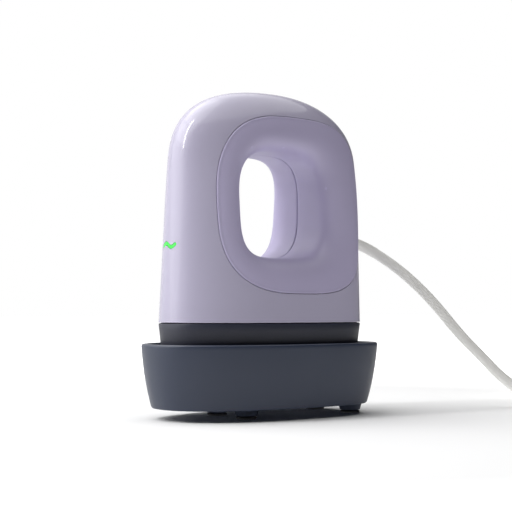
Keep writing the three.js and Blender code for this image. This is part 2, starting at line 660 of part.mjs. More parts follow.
// Housing: one arch-shaped shell, open on both flanks for the inserts
{
  const outer = solid(housingSolid(0, corners.outer, domeLevels.outer, bodyBase));
  const hollow = solid(housingSolid(shellWall, corners.inner, domeLevels.inner, bodyBase - 2 * overcut));
  let shell = outer.subtract(hollow);
  shell = shell.subtract(solid(insertPrism()));

  // Bosses for the screws that come up through the collar, each tied to its flank by a rib
  const screwEnd = webBottom - seatGap + housingScrewReach;
  const bossTop = screwEnd + bossWall + overcut;
  for (const [x, y] of housingScrews) {
    const middle = (y + Math.sign(y) * halfWidth) / 2;
    const rib = blockOn(bodyBase, {
      x, y: middle, length: ribWidth, width: halfWidth - Math.abs(y), height: bossTop - bodyBase,
    });
    const boss = solid(postZ(x, y, bodyBase, bossTop, largeBoss)).add(solid(rib)).intersect(outer);
    shell = shell.add(boss).subtract(boreZ(x, y, bodyBase, screwEnd, largeScrew));
  }

  // A peg from a wall to a board's face, with a tip through the board
  const boardPeg = (wall, face, far, z) => {
    const along = (end, radius) =>
      solid(postX(Math.min(wall, end), Math.max(wall, end), 0, z, radius, sides.small));
    return along(face, peg.radius).add(along(far, peg.tip)).intersect(outer);
  };
  const pegHole = (x, z) =>
    solid(postX(x - overcut, x + boardThickness + overcut, 0, z, peg.tip + boreGap, sides.small));

  // Light: a wavy window in the nose, the lamp behind it, and the lamp's board
  const guideFront = noseX(lightZ) - overcut;
  const guideBack = noseX(lightZ) + lightDepth;
  const lampBack = guideBack + seatGap + lightSource.thickness;
  const lightBoardX = lampBack + seatGap;
  const lightBoardBack = lightBoardX + boardThickness;
  let lightPanel = solid(panelX(lightBoardX, lightBoardBack, lightZ, lightBoard.width, lightBoard.height));
  for (const z of [lightZ - lightBoard.pegSpread, lightZ + lightBoard.pegSpread]) {
    const wall = noseX(lightZ, shellWall) - overcut;
    shell = shell.add(boardPeg(wall, lightBoardX - seatGap, lightBoardBack + peg.tipLength, z));
    lightPanel = lightPanel.subtract(pegHole(lightBoardX, z));
  }
  shell = shell.subtract(solid(waveBar(guideFront, guideBack, waveStroke / 2 + slideGap)));
  const guide = solid(waveBar(guideFront, guideBack, waveStroke / 2)).intersect(outer);
  piece(press, 'light_guide', geometryOf(guide), glow);
  piece(press, 'light_source',
    panelX(guideBack + seatGap, lampBack, lightZ, lightSource.width, lightSource.height), glow);
  piece(press, 'light_board', geometryOf(lightPanel), board);
  const lightOut = lightBoardBack + seatGap;
  {
    const { y, drop, out, fall, landX, landY } = lightCable;
    piece(press, 'light_cable', lead([
      [lightOut, y, lightZ - drop],
      [lightOut + cableRadius, y, lightZ - drop],
      [lightOut + 0.82 * out, 0.95 * y, lightZ - 1.5 * drop],
      [lightOut + out, 0.75 * y, lightZ - fall],
      [landX - 6 * cableRadius, landY + cableRadius, boardTop + 8 * cableRadius],
      [landX - 0.4 * cableRadius, landY, boardTop + 4 * cableRadius],
      [landX, landY, onBoard],
    ], cableRadius, sides.wire, spans.wire), blackPlastic);
  }

  // Button bore, switch and its board in the back of the handle
  const wallIn = backX(buttonZ, shellWall);
  const wallOut = backX(buttonZ);
  const flangeRadius = buttonRadius + buttonRim;
  shell = shell.subtract(solid(
    postX(wallIn - shellWall, wallOut + shellWall, 0, buttonZ, buttonRadius + slideGap, sides.large)));
  shell = shell.subtract(solid(
    postX(wallIn - 2 * shellWall, wallIn, 0, buttonZ, flangeRadius + seatGap, sides.large)));
  const flangeBack = wallIn - seatGap;
  const flangeFront = flangeBack - buttonFlange;
  const stemEnd = flangeFront - buttonStem.length;
  const face = wallOut + buttonProud;
  piece(press, 'power_button', turnedX([
    [stemEnd, 0], [stemEnd, buttonStem.radius], [flangeFront, buttonStem.radius],
    [flangeFront, flangeRadius], [flangeBack, flangeRadius], [flangeBack, buttonRadius],
    [face - buttonChamfer, buttonRadius], [face, buttonRadius - buttonChamfer], [face, 0],
  ], buttonZ, sides.large), lilac);
  const plungerBack = stemEnd - seatGap;
  const plungerFront = plungerBack - plungerLength;
  const switchBack = plungerBack - plungerProud;
  const switchFront = switchBack - switchSize.depth;
  piece(press, 'switch_plunger',
    postX(plungerFront, plungerBack, 0, buttonZ, plungerRadius, sides.small), blackPlastic);
  const well = solid(postX(plungerFront - buttonTravel - seatGap, switchBack + overcut, 0, buttonZ,
    plungerRadius + slideGap, sides.small));
  const switchBlock = solid(panelX(switchFront, switchBack, buttonZ, switchSize.width, switchSize.width));
  piece(press, 'switch_base', geometryOf(switchBlock.subtract(well)), blackPlastic);
  const controlBack = switchFront - seatGap;
  const controlX = controlBack - boardThickness;
  const controlZ = buttonZ - controlBoard.drop;
  const { width, height } = controlBoard;
  let controlPanel = solid(panelX(controlX, controlBack, controlZ, width, height));
  for (const z of [controlZ - controlBoard.pegSpread, controlZ + controlBoard.pegSpread]) {
    shell = shell.add(boardPeg(wallIn + overcut, controlBack + seatGap, controlX - peg.tipLength, z));
    controlPanel = controlPanel.subtract(pegHole(controlX, z));
  }
  piece(press, 'control_board', geometryOf(controlPanel), board);
  const controlOut = controlX - seatGap;
  const chipFront = controlOut - controlChip.thickness;
  piece(press, 'control_chip',
    panelX(chipFront, controlOut, buttonZ, controlChip.width, controlChip.height), blackPlastic);
  {
    const { y, drop, out, fall, landX, landY } = controlCable;
    piece(press, 'control_cable', lead([
      [controlOut, y, buttonZ - drop],
      [controlOut - cableRadius, y, buttonZ - drop],
      [controlOut - 0.82 * out, 1.1 * y, buttonZ - 1.25 * drop],
      [controlOut - out, 1.25 * y, buttonZ - fall],
      [landX + cableRadius, landY + 2 * cableRadius, buttonZ - fall - drop],
      [landX + 0.4 * cableRadius, landY + cableRadius, boardTop + drop],
      [landX, landY, onBoard],
    ], cableRadius, sides.wire, spans.wire), blackPlastic);
  }

  // Strain relief through the back, with the screwed plate that holds it
  const backIn = backX(reliefZ, shellWall);
  const backOut = backX(reliefZ);
  const sleeve = stretch(seatGap, reliefTail, spans.sleeve);
  const taper = (i) =>
    THREE.MathUtils.lerp(reliefTaper.to, reliefTaper.from, (1 - i / (sleeve.length - 1)) ** 2);
  const reliefBack = backIn - seatGap;
  const reliefFront = reliefBack - reliefFlange.thickness;
  const beadFront = backOut + seatGap;
  const beadBack = beadFront + reliefBead.thickness;
  shell = shell.subtract(solid(
    postX(backIn - shellWall, backOut + shellWall, 0, reliefZ, reliefNeck + seatGap)));
  shell = shell.subtract(solid(
    postX(backIn - 2 * shellWall, backIn, 0, reliefZ, reliefFlange.radius + seatGap)));
  const fixing = solid(turnedX([
    [reliefFront, 0], [reliefFront, reliefFlange.radius], [reliefBack, reliefFlange.radius],
    [reliefBack, reliefNeck], [beadFront, reliefNeck], [beadFront, reliefBead.radius],
    [beadBack, reliefBead.radius], [beadBack + reliefBead.bevel, reliefBead.radius - reliefBead.bevel],
    [beadBack + reliefBead.bevel, 0],
  ], reliefZ, sides.medium));
  const guard = solid(tubeThrough(sleeve, taper, sides.slim));
  piece(press, 'strain_relief', geometryOf(fixing.add(guard)), cordWhite);
  const plateBack = reliefFront - seatGap;
  const plateFront = plateBack - reliefPlate.thickness;
  let holder = solid(panelX(plateFront, plateBack, reliefZ, reliefPlate.length, reliefPlate.height));
  holder = holder.subtract(solid(
    postX(plateFront - overcut, plateBack + overcut, 0, reliefZ, cordRadius + 2 * slideGap)));
  for (const [place, way] of [['left', -1], ['right', 1]]) {
    const y = way * reliefScrewSpread;
    const bossRadius = smallScrew.shank + boreGap + slimBossWall;
    const boss = solid(postX(reliefFront, backOut, y, reliefZ, bossRadius, sides.small));
    shell = shell.add(boss.intersect(outer));
    shell = shell.subtract(boreX(reliefFront, backIn - 2 * overcut, y, reliefZ, smallScrew));
    holder = holder.subtract(boreX(plateFront, plateBack, y, reliefZ, smallScrew));
    const headAt = plateFront - seatGap;
    const reach = reliefFront - headAt + reliefScrewReach;
    piece(press, `relief_screw_${place}`, screwBack(smallScrew, reach, headAt, y, reliefZ), steel);
  }
  piece(press, 'relief_plate', geometryOf(holder), sheet);
  piece(press, 'housing_shell', geometryOf(shell), lilac);

  // Inner end of the mains lead, down to its terminals
  const onTerminals = onBoard + terminals.height + seatGap;
  const clampX = terminals.x + 0.2 * cordRadius;
  piece(press, 'lead_sheath', lead([
    [plateBack, 0, reliefZ],
    [plateBack - 2.2 * cordRadius, 0, reliefZ - 0.1 * cordRadius],
    [terminals.x + 3 * cordRadius, 0.1 * terminals.y, reliefZ - 2.2 * cordRadius],
    [terminals.x + 2 * cordRadius, 0.5 * terminals.y, reliefZ - 6 * cordRadius],
    [clampX + 0.2 * cordRadius, terminals.y - 0.2 * cordRadius, onTerminals + 1.7 * cordRadius],
    [clampX, terminals.y, onTerminals + 0.4 * cordRadius],
    [clampX, terminals.y, onTerminals],
  ], cordRadius, sides.small, spans.wire), cordWhite);
}

// Grip inserts
piece(press, 'grip_insert_left', gripInsert(-1), lilac);
piece(press, 'grip_insert_right', gripInsert(1), lilac);

// Power board on the collar's posts
{
  let sheetOf = solid(blockOn(boardBottom, { ...powerBoard, height: boardThickness }));
  boardPosts.slice(0, 2).forEach(([x, y], i) => {
    sheetOf = sheetOf.subtract(boreZ(x, y, boardBottom, boardTop, smallScrew));
    const reach = onBoard - webTop - 3 * overcut;
    piece(press, `board_screw_${i + 1}`, screwDown(smallScrew, reach, x, y, onBoard), steel);
  });
  piece(press, 'power_board', geometryOf(sheetOf), board);
  piece(press, 'relay', blockOn(onBoard, relay), bluePlastic);
  piece(press, 'supply_module', blockOn(onBoard, supply), blackPlastic);
  piece(press, 'terminal_block', blockOn(onBoard, terminals), greenPlastic);
  const { x, y, length, radius } = mainsFuse;
  piece(press, 'mains_fuse', postX(x - length / 2, x + length / 2, y, onBoard + radius, radius), sheet);

  // Heater leads, from the element's ends up through the layers to the underside of the board
  for (const [place, way] of [['left', -1], ['right', 1]]) {
    const at = (back, inward, z) => [leadPlace.x - back, way * (leadPlace.y - inward), z];
    piece(press, `heater_lead_${place}`, lead([
      at(leadAhead - seatGap, 0, elementLevel),
      at(1.7 * wireRadius, 0, elementLevel + 0.4 * wireRadius),
      at(0, 0, elementLevel + 4.4 * wireRadius),
      at(0, 0, webTop),
      at(0.7 * wireRadius, 1.8 * wireRadius, webTop + 2.9 * wireRadius),
      at(2.0 * wireRadius, 3.9 * wireRadius, boardBottom - 2 * wireRadius),
      at(2.2 * wireRadius, 4.1 * wireRadius, boardBottom - seatGap),
    ], wireRadius, sides.wire, spans.wire), cordWhite);
  }
}

// Tray, with a hollow skirt below its floor
{
  const trayBottom = footHeight;
  const curve = new THREE.QuadraticBezierCurve(
    new THREE.Vector2(trayLowFlare, trayBottom),
    new THREE.Vector2(2 * trayMidFlare - (trayLowFlare + trayRimFlare) / 2, (trayBottom + trayRim) / 2),
    new THREE.Vector2(trayRimFlare, trayRim));
  const levels = [0, 0.15, 0.4, 0.7, 1].map((t) => curve.getPoint(t));
  const ringAt = (flare, z, less) => outlineRing(z, flare - less, flare - less - traySideTrim);
  let tray = solid(loft(levels.map((at) => ringAt(at.x, at.y, 0))));
  const floorFlare = curve.getPoint((floorTop - trayBottom) / (trayRim - trayBottom)).x;
  tray = tray.subtract(solid(loft([
    ringAt(floorFlare, floorTop, trayWall + trayFillet),
    ...levels.filter((at) => at.y > floorTop + trayFillet).map((at) => ringAt(at.x, at.y, trayWall)),
    ringAt(trayRimFlare, trayRim + overcut, trayWall)])));
  tray = tray.subtract(solid(loft([
    ringAt(trayLowFlare, trayBottom - overcut, trayWall), ringAt(trayLowFlare, floorBottom, trayWall)])));

  const feet = [frontFoot, rearFoot].flatMap(({ x, y }) => [[x, y], [x, -y]]);
  feet.forEach(([x, y], i) => {
    const tip = footPadThickness + seatGap;
    const foot = postZ(x, y, tip, floorBottom + overcut, footRadius, sides.large, footTipRadius);
    tray = tray.add(solid(foot));
    piece(base, `foot_pad_${i + 1}`,
      postZ(x, y, 0, footPadThickness, footTipRadius - footPadInset, sides.large), rubber);
  });
  piece(base, 'tray', geometryOf(tray), slate);

  // Heat-proof pads under the plate
  piece(base, 'rest_pad_front', blockOn(floorTop + seatGap, frontPad), silicone);
  piece(base, 'rest_pad_rear', blockOn(floorTop + seatGap, rearPad), silicone);
}

// Cord: from the strain relief to the floor, and on to the start of the coil
const freeStretch = stretch(reliefTail + seatGap, cordLine.getLength() - seatGap, spans.cord);
piece(cord, 'cord_free', lead(freeStretch, cordRadius, sides.small, spans.cord), cordWhite);

// Layers that spiral in and out by turns, with each climb in the half turn between them
function coilPoints() {
  const toCentre = new THREE.Vector3(-coilHeading.y, coilHeading.x, 0);
  const centre = coilEntry.clone().addScaledVector(toCentre, coilOuter);
  const startAngle = Math.atan2(coilEntry.y - centre.y, coilEntry.x - centre.x);
  const onRun = (share) => coilEntry.clone().addScaledVector(coilHeading, -share * coilRun);
  const points = [onRun(1), onRun(2 / 3), onRun(1 / 3)];
  for (let i = 0; i <= coilLayers * layerTurns * coilSteps; i++) {
    const turns = i / coilSteps;
    const inward = layerTurns - Math.abs((turns % (2 * layerTurns)) - layerTurns);
    const radius = coilOuter - coilPitch * inward;
    let climb = 0;
    for (let k = 1; k < coilLayers; k++) climb += clamp01(2 * (turns - k * layerTurns) + 0.5);
    const angle = startAngle + 2 * Math.PI * turns;
    const level = cordRadius + coilPitch * climb;
    points.push(new THREE.Vector3(
      centre.x + radius * Math.cos(angle), centre.y + radius * Math.sin(angle), level));
  }
  const end = points[points.length - 1].clone().addScaledVector(coilHeading, 2 * cordRadius);
  return [...points, end];
}

// Least distance between the surfaces of two parts of a line that lie at least so many points apart
function leastGap(points, diameter, apart) {
  let least = Infinity;
  for (let i = 0; i < points.length; i++) {
    for (let j = i + apart; j < points.length; j++) {
      least = Math.min(least, points[i].distanceTo(points[j]));
    }
  }
  return least - diameter;
}

const coil = coilPoints();
const turnGap = leastGap(coil, 2 * cordRadius, coilSteps / 2);
console.log(`coil: least gap between turns ${turnGap.toFixed(2)} mm`);
piece(cord, 'cord_coil', tubeThrough(coil, () => cordRadius, sides.wire), cordWhite);

// The tail and the plug
const tailStart = coil[coil.length - 1].clone().addScaledVector(coilHeading, seatGap);
const plugHeading = new THREE.Vector3(Math.cos(plugTurn), Math.sin(plugTurn), 0);
const plugLeadIn = plugPlace.clone().addScaledVector(plugHeading, -plugRun);
piece(cord, 'cord_tail', lead([
  ...stepsFrom(tailStart, [
    [0, 0, 0], [8.1, -0.1, -0.6], [16.1, 0.5, -3.0], [24.7, 2.6, -7.0], [33.1, 7.0, -10.8]]),
  ...stepsFrom(plugLeadIn, [[-7.8, -18.1, -3.9], [-3.4, -10.5, -3.6], [-1.1, -4.3, -1.3], [0, 0, 0]]),
  plugPlace,
], cordRadius, sides.small, spans.tail), cordWhite);

const plug = new THREE.Group();
plug.position.copy(plugPlace);
plug.rotation.z = plugTurn;
cord.add(plug);
const plugRing = (x, halfY, halfZ) => Array.from({ length: corners.plug }, (_, k) => {
  const angle = (2 * Math.PI * k) / corners.plug;
  const c = Math.cos(angle);
  const s = Math.sin(angle);
  const y = Math.sign(c) * halfY * Math.abs(c) ** plugSquareness;
  return new THREE.Vector3(x, y, Math.sign(s) * halfZ * Math.abs(s) ** plugSquareness);
});
piece(plug, 'plug_body', loft([
  plugRing(seatGap, plugNeck.radius, plugNeck.radius),
  plugRing(plugNeck.length, plugNeck.flare, plugNeck.flare),
  plugRing(plugShoulder.start, plugShoulder.halfWidth, plugShoulder.halfHeight),
  plugRing(plugShoulder.end, plugHalfWidth, plugHalfHeight),
  plugRing(plugLength - plugEdge.length, plugHalfWidth, plugHalfHeight),
  plugRing(plugLength, plugHalfWidth - plugEdge.inset, plugHalfHeight - plugEdge.inset)]), cordWhite);
for (const [place, way] of [['left', -1], ['right', 1]]) {
  const { spread, length, width, thickness } = blade;
  piece(plug, `plug_blade_${place}`, new THREE.BoxGeometry(length, thickness, width)
    .translate(plugLength + seatGap + length / 2, way * spread, 0), brass);
}

const part = new THREE.Group();
part.add(press, base, cord);

export default part;
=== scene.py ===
# %% [markdown]
# # Mini heat press in its safety tray
# A hand-held press of the kind used on shoes, hats and other small curved work: an arch-shaped
# housing with a see-through handle, a dished grip on each flank, a dark collar over the heat
# plate, and a tray with four short feet. This notebook dresses the measured model piece by piece,
# with +Z up, the nose along -X and the cord leaving along +X. The sizes and places of its pieces
# are written in millimetres, as on a drawing, and become metres where a mesh is made.

# %% Load the measured model
import json
import math

import bmesh
import bpy
import numpy as np
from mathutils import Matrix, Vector

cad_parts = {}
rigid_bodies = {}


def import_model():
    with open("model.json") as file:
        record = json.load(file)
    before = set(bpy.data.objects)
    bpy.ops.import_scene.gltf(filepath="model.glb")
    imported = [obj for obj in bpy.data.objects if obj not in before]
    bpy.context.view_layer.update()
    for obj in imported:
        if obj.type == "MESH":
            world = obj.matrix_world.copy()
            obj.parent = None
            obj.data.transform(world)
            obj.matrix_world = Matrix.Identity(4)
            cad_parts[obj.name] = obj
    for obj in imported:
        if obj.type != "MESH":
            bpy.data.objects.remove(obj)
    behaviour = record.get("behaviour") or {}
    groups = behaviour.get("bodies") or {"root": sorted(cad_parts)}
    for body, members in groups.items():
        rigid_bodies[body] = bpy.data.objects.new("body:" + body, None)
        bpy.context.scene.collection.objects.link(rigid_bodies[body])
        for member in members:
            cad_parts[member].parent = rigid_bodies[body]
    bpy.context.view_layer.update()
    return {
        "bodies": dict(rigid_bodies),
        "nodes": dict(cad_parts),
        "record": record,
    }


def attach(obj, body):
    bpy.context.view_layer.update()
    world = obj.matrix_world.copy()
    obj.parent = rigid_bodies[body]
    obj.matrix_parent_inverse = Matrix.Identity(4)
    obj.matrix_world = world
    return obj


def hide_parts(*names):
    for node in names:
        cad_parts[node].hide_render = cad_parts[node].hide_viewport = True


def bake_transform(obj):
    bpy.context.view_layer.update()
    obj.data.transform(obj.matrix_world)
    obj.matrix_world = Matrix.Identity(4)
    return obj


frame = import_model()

MM = 0.001
print("bodies:", ", ".join(frame["bodies"]), "| nodes:", len(frame["nodes"]))

# %% [markdown]
# ## The view
# A product photograph of something this small is taken from about half a metre away, with a short
# telephoto lens held low. A camera could be aimed by eye at the middle of the press. Here its
# place, heading and lens are set outright, worked out from where the outlines of crown, collar
# and tray fall in the photograph, so that each piece can be compared with it spot by spot. From
# there the tray's rim is seen almost edge-on, and the plate is out of sight inside the tray.

# %% Set the camera
CAMERA_PLACE = (-314.4, -416.6, 45.3)
HEADING, PITCH = math.radians(37.0), math.radians(2.47)
LENS, SENSOR_WIDTH = 85.85, 36.0
NEAREST, FARTHEST = 0.01, 20.0


def add_object(name, data):
    thing = bpy.data.objects.new(name, data)
    bpy.context.scene.collection.objects.link(thing)
    return thing


look = Vector((math.sin(HEADING) * math.cos(PITCH), math.cos(HEADING) * math.cos(PITCH), math.sin(PITCH)))
camera = add_object("camera", bpy.data.cameras.new("camera"))
camera.location = Vector(CAMERA_PLACE) * MM
camera.rotation_euler = look.to_track_quat("-Z", "Y").to_euler()
camera.data.lens, camera.data.sensor_width = LENS, SENSOR_WIDTH
camera.data.clip_start, camera.data.clip_end = NEAREST, FARTHEST
bpy.context.scene.camera = camera
print("camera:", round(math.dist(CAMERA_PLACE, (0, 0, 0))), "mm from the foot of the press")

# %% [markdown]
# ## From rings to skins
# The housing, the collar, the tray and the plug are all moulded, and each can be seen as a stack
# of closed rings that change slowly from one to the next. Such forms could be sculpted, or shaped
# with subdivision surfaces. Here their rings are worked out from sizes, because then each piece
# meets its neighbours exactly. A skin gathers the rings and joins each one to the next.

# %% Gather rings of points into a skin
class Skin:
    """Points in millimetres, and the faces that rings, strips and caps make of them."""

    def __init__(self):
        self.points, self.faces = [], []

    def ring(self, points):
        start = len(self.points)
        self.points.extend(tuple(p) for p in points)
        return list(range(start, len(self.points)))

    def join(self, a, b, closed=True):
        for i in range(len(a) if closed else len(a) - 1):
            j = (i + 1) % len(a)
            self.faces.append((a[i], a[j], b[j], b[i]))

    def stack(self, rings):
        loops = [self.ring(ring) for ring in rings]
        for a, b in zip(loops, loops[1:]):
            self.join(a, b)
        return loops

    def cap(self, loop):
        middle = self.ring([np.mean([self.points[i] for i in loop], axis=0)])[0]
        for a, b in zip(loop, loop[1:] + loop[:1]):
            self.faces.append((a, b, middle))

    def closed_stack(self, rings):
        loops = self.stack(rings)
        self.cap(loops[0])
        self.cap(loops[-1])


# %% Turn a profile round an axis
POINTED, RING_POINTS = 1e-4, 64


def circle(count):
    return [2 * math.pi * k / count for k in range(count)]


def turned(profile, place, axis="Z", count=RING_POINTS):
    """Rings of a turned form, from pairs that say how far along the axis and at what radius."""
    rings = []
    for run, radius in profile:
        ring = []
        for angle in circle(count):
            a, b = max(radius, POINTED) * math.cos(angle), max(radius, POINTED) * math.sin(angle)
            spot = (a, b, run) if axis == "Z" else (run, a, b)
            ring.append(tuple(Vector(spot) + Vector(place)))
        rings.append(ring)
    return rings


# %% [markdown]
# ## From skins to pieces
# A moulded piece is smooth all over, apart from the edges that its mould keeps crisp. The whole
# mesh could be shaded flat or smooth, but then it would look faceted or swollen. So a new piece
# is shaded smooth, except along edges where two faces meet at more than a set angle. The piece
# also gets its finish and is hung on the body it rides on, and the measured nodes it stands for
# are hidden.

# %% Make a piece from a skin
SHARP_ANGLE = 35.0
SAME_PLACE, NO_LENGTH = 1e-7, 1e-8


def shade(mesh, sharp=SHARP_ANGLE):
    """Joins doubled points and shades a mesh smooth between the edges sharper than an angle."""
    work = bmesh.new()
    work.from_mesh(mesh)
    bmesh.ops.remove_doubles(work, verts=work.verts, dist=SAME_PLACE)
    bmesh.ops.dissolve_degenerate(work, edges=work.edges, dist=NO_LENGTH)
    bmesh.ops.recalc_face_normals(work, faces=work.faces)
    for face in work.faces:
        face.smooth = True
    for edge in work.edges:
        edge.smooth = len(edge.link_faces) < 2 or edge.calc_face_angle(0.0) < math.radians(sharp)
    work.to_mesh(mesh)
    work.free()
    mesh.update()


def object_from(skin, name, sharp=SHARP_ANGLE):
    mesh = bpy.data.meshes.new(name)
    mesh.from_pydata([tuple(Vector(p) * MM) for p in skin.points], [], skin.faces)
    shade(mesh, sharp)
    return add_object(name, mesh)


def new_piece(name, skin, material, body, stands_for, sharp=SHARP_ANGLE):
    piece = object_from(skin, name, sharp)
    piece.data.materials.append(material)
    if body:
        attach(piece, body)
    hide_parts(*stands_for)
    print(name, "has", len(piece.data.polygons), "faces")
    return piece


# %% [markdown]
# ## The plan
# Seen from above, the press is one rounded outline from the tray to the crown, with an
# ellipse-like nose and a squarer back. It could be drawn as a curve for each level. A formula
# with one power for the nose and one for the back gives the same outline at every size instead,
# so collar, tray and housing stay parallel.

# %% The outline that every level shares
FRONT, REAR, HALF_WIDTH = 49.5, 41.5, 27.5
WIDEST_X = (FRONT - REAR) / 2
NOSE_POWER, BACK_POWER = 2.25, 3.45
OUTLINE_POINTS = 240
HARDLY_ANY = 1e-9


def plan_point(angle, z, front, rear, side, nose_power, back_power):
    """The point of an outline that lies at an angle from its middle, counted from the back."""
    c, s = math.cos(angle), math.sin(angle)
    end, power = (front, nose_power) if c < 0 else (rear, back_power)
    share = (abs(c) / max(end, HARDLY_ANY)) ** power + (abs(s) / max(side, HARDLY_ANY)) ** power
    radius = share ** (-1 / power)
    return (WIDEST_X + radius * c, radius * s, z)


def outline(z, margin, side_margin):
    """The outline at a height, larger than the collar's top by its margins at the ends and sides."""
    sizes = (FRONT + margin, REAR + margin, HALF_WIDTH + side_margin, NOSE_POWER, BACK_POWER)
    return [plan_point(angle, z, *sizes) for angle in circle(OUTLINE_POINTS)]


print("outline:", FRONT + REAR, "x", 2 * HALF_WIDTH, "mm")

# %% [markdown]
# ## The dome
# Over the collar the outline draws in slowly and then rolls over into the crown. A lofted or
# subdivided surface could follow that. Instead, three profiles, for the nose, the back and the
# flanks, say how far the housing reaches at each height. Outline and profiles together are called
# the form below, and because it is a formula, the grips, the light, the button and the cord are
# all placed on it exactly.

# %% How far the housing reaches at each height
COLLAR_TOP, BODY_HEIGHT, WALL = 39.3, 98.2, 2.2
SHOULDER, CROWN_BLEND, CROWN_POWER = 41.7, 40.7, 2.2
# Each profile: the reach at the collar, how much it draws in for each millimetre of height, the
# height at which it starts to roll over, and how square the roll is.
NOSE_PROFILE = (FRONT, 0.041, 66.1, 2.58)
BACK_PROFILE = (REAR, -0.026, 69.6, 2.33)
FLANK_PROFILE = (HALF_WIDTH, 0.075, SHOULDER, 2.84)


def share_of(value, start, stop):
    return min(1.0, max(0.0, (value - start) / (stop - start)))


def blend_value(a, b, share):
    return a + (b - a) * share


def reach(profile, height, inset):
    at_collar, draw_in, roll_start, power = profile
    over = share_of(height, roll_start, BODY_HEIGHT - inset)
    return (at_collar - inset - draw_in * height) * (1 - over ** power) ** (1 / power)


def section(height, inset=0.0):
    """What plan_point needs at a height over the collar, on the form or that much inside it."""
    crown = share_of(height, CROWN_BLEND, BODY_HEIGHT - inset) ** 2
    powers = [blend_value(power, CROWN_POWER, crown) for power in (NOSE_POWER, BACK_POWER)]
    return [reach(p, height, inset) for p in (NOSE_PROFILE, BACK_PROFILE, FLANK_PROFILE)] + powers


shoulder_reach = [round(run, 1) for run in section(SHOULDER)[:3]]
print("at the shoulder the form reaches", shoulder_reach, "mm to the nose, the back and the flanks")


# %% Places on the form
def flank(x, z, inset=0.0):
    """How far the form stands out sideways at x and z."""
    front, rear, side, nose_power, back_power = section(z - COLLAR_TOP, inset)
    end, power = (front, nose_power) if x < WIDEST_X else (rear, back_power)
    return side * max(0.0, 1 - (abs(x - WIDEST_X) / end) ** power) ** (1 / power)


def nose_x(y, z):
    front, _, side, power, _ = section(z - COLLAR_TOP)
    return WIDEST_X - front * max(0.0, 1 - (abs(y) / side) ** power) ** (1 / power)


def back_x(z, inset=0.0):
    return WIDEST_X + section(z - COLLAR_TOP, inset)[1]


LIGHT_Z, SLEEVE_Z, BUTTON_Z = COLLAR_TOP + 31.85, 75.6, COLLAR_TOP + 60.7
light_x, sleeve_x = nose_x(0, LIGHT_Z), back_x(SLEEVE_Z)
print("nose at the light:", round(light_x, 2), "mm; back at the cord:", round(sleeve_x, 2), "mm")

# %% [markdown]
# ## The cord's route
# A press like this has about 1.8 m of thin round mains lead. It leaves the back of the housing
# through a ribbed sleeve, bends down under its own weight and runs off to the right. A simulated
# cord would hang well, but not where the photograph has it, so the route is a smooth curve through
# given points, which the measured model uses too. The length that the photograph doesn't
# show is put away as a neat round coil outside the picture, with the plug beside it.

# %% Draw smooth lines through chosen points
SPAN_STEPS = 24


def smooth_line(points):
    """An even, smooth line through all the points, as the measured model draws it too."""
    p = [np.array(q, float) for q in points]
    p = [2 * p[0] - p[1]] + p + [2 * p[-1] - p[-2]]
    line = []
    for a, b, c, d in zip(p, p[1:], p[2:], p[3:]):
        before, between, after = [math.sqrt(np.linalg.norm(v - u)) for u, v in ((a, b), (b, c), (c, d))]
        leave = ((b - a) / before - (c - a) / (before + between) + (c - b) / between) * between
        arrive = ((c - b) / between - (d - b) / (between + after) + (d - c) / after) * between
        bend, twist = 3 * (c - b) - 2 * leave - arrive, 2 * (b - c) + leave + arrive
        for t in [k / SPAN_STEPS for k in range(SPAN_STEPS)]:
            line.append(b + leave * t + bend * t * t + twist * t ** 3)
    line.append(p[-2])
    return np.array(line)


def eased(line, rounds):
    """The same line with the small unevenness of its listed points smoothed out; both ends stay."""
    for _ in range(rounds):
        line = np.vstack([line[:1], (line[:-2] + 2 * line[1:-1] + line[2:]) / 4, line[-1:]])
    return line


def walked(line, count, start=0.0, stop=None):
    """Evenly spaced points between two lengths along a line, or from the first to its end."""
    lengths = np.r_[0, np.cumsum(np.linalg.norm(np.diff(line, axis=0), axis=1))]
    at = np.linspace(start, lengths[-1] if stop is None else stop, count)
    return np.stack([np.interp(at, lengths, line[:, k]) for k in range(3)], 1)


def steps_from(place, steps):
    return [np.array(place) + step for step in steps]


# %% Follow the cord down to the table
CORD_RADIUS = 2.3
COIL_ENTRY, COIL_HEADING, COIL_RUN = np.array([200.0, -47.5, CORD_RADIUS]), np.array([1.0, 0.0, 0.0]), 24.0
EASING_POINTS, EASING_ROUNDS = 140, 24

coil_start = COIL_ENTRY - COIL_RUN * COIL_HEADING
hanging = steps_from((sleeve_x, 0, SLEEVE_Z), [
    (0, 0, 0), (3.8, 0, 0), (8.0, 0, -0.1), (11.9, -0.3, -1.0), (17.7, -1.9, -3.7), (22.6, -4.9, -7.3),
    (26.9, -7.9, -11.0), (34.0, -12.9, -18.3), (42.8, -18.9, -29.3), (47.7, -22.2, -36.6),
    (52.9, -25.8, -44.0), (59.0, -30.0, -51.3), (66.2, -35.2, -60.7)])
lying = steps_from(coil_start, [
    (-55.5, 6.4, 5.3), (-47.0, 2.1, 1.6), (-38.0, 0.2, 0.4), (-26.0, -0.1, 0.1), (0, 0, 0)])
free_line = eased(walked(smooth_line(hanging + lying), EASING_POINTS), EASING_ROUNDS)
print("cord down to the coil:", round(float(np.linalg.norm(np.diff(free_line, axis=0), axis=1).sum())), "mm")

# %% [markdown]
# ## The coil and the tail
# Most of the lead lies out of sight, wound up as it would be for a shelf: layers of turns that go
# in and out by turns, and then a tail that leads down from the coil into the plug. Every turn could
# be placed by hand. A coil follows a rule, though, so one formula gives the cord's place after any
# number of turns, and only the tail has points listed one by one.

# %% Wind the rest into a coil
COIL_PITCH, COIL_OUTER = 5.1, 32.4
COIL_LAYERS, LAYER_TURNS, TURN_STEPS = 4, 2.25, 48

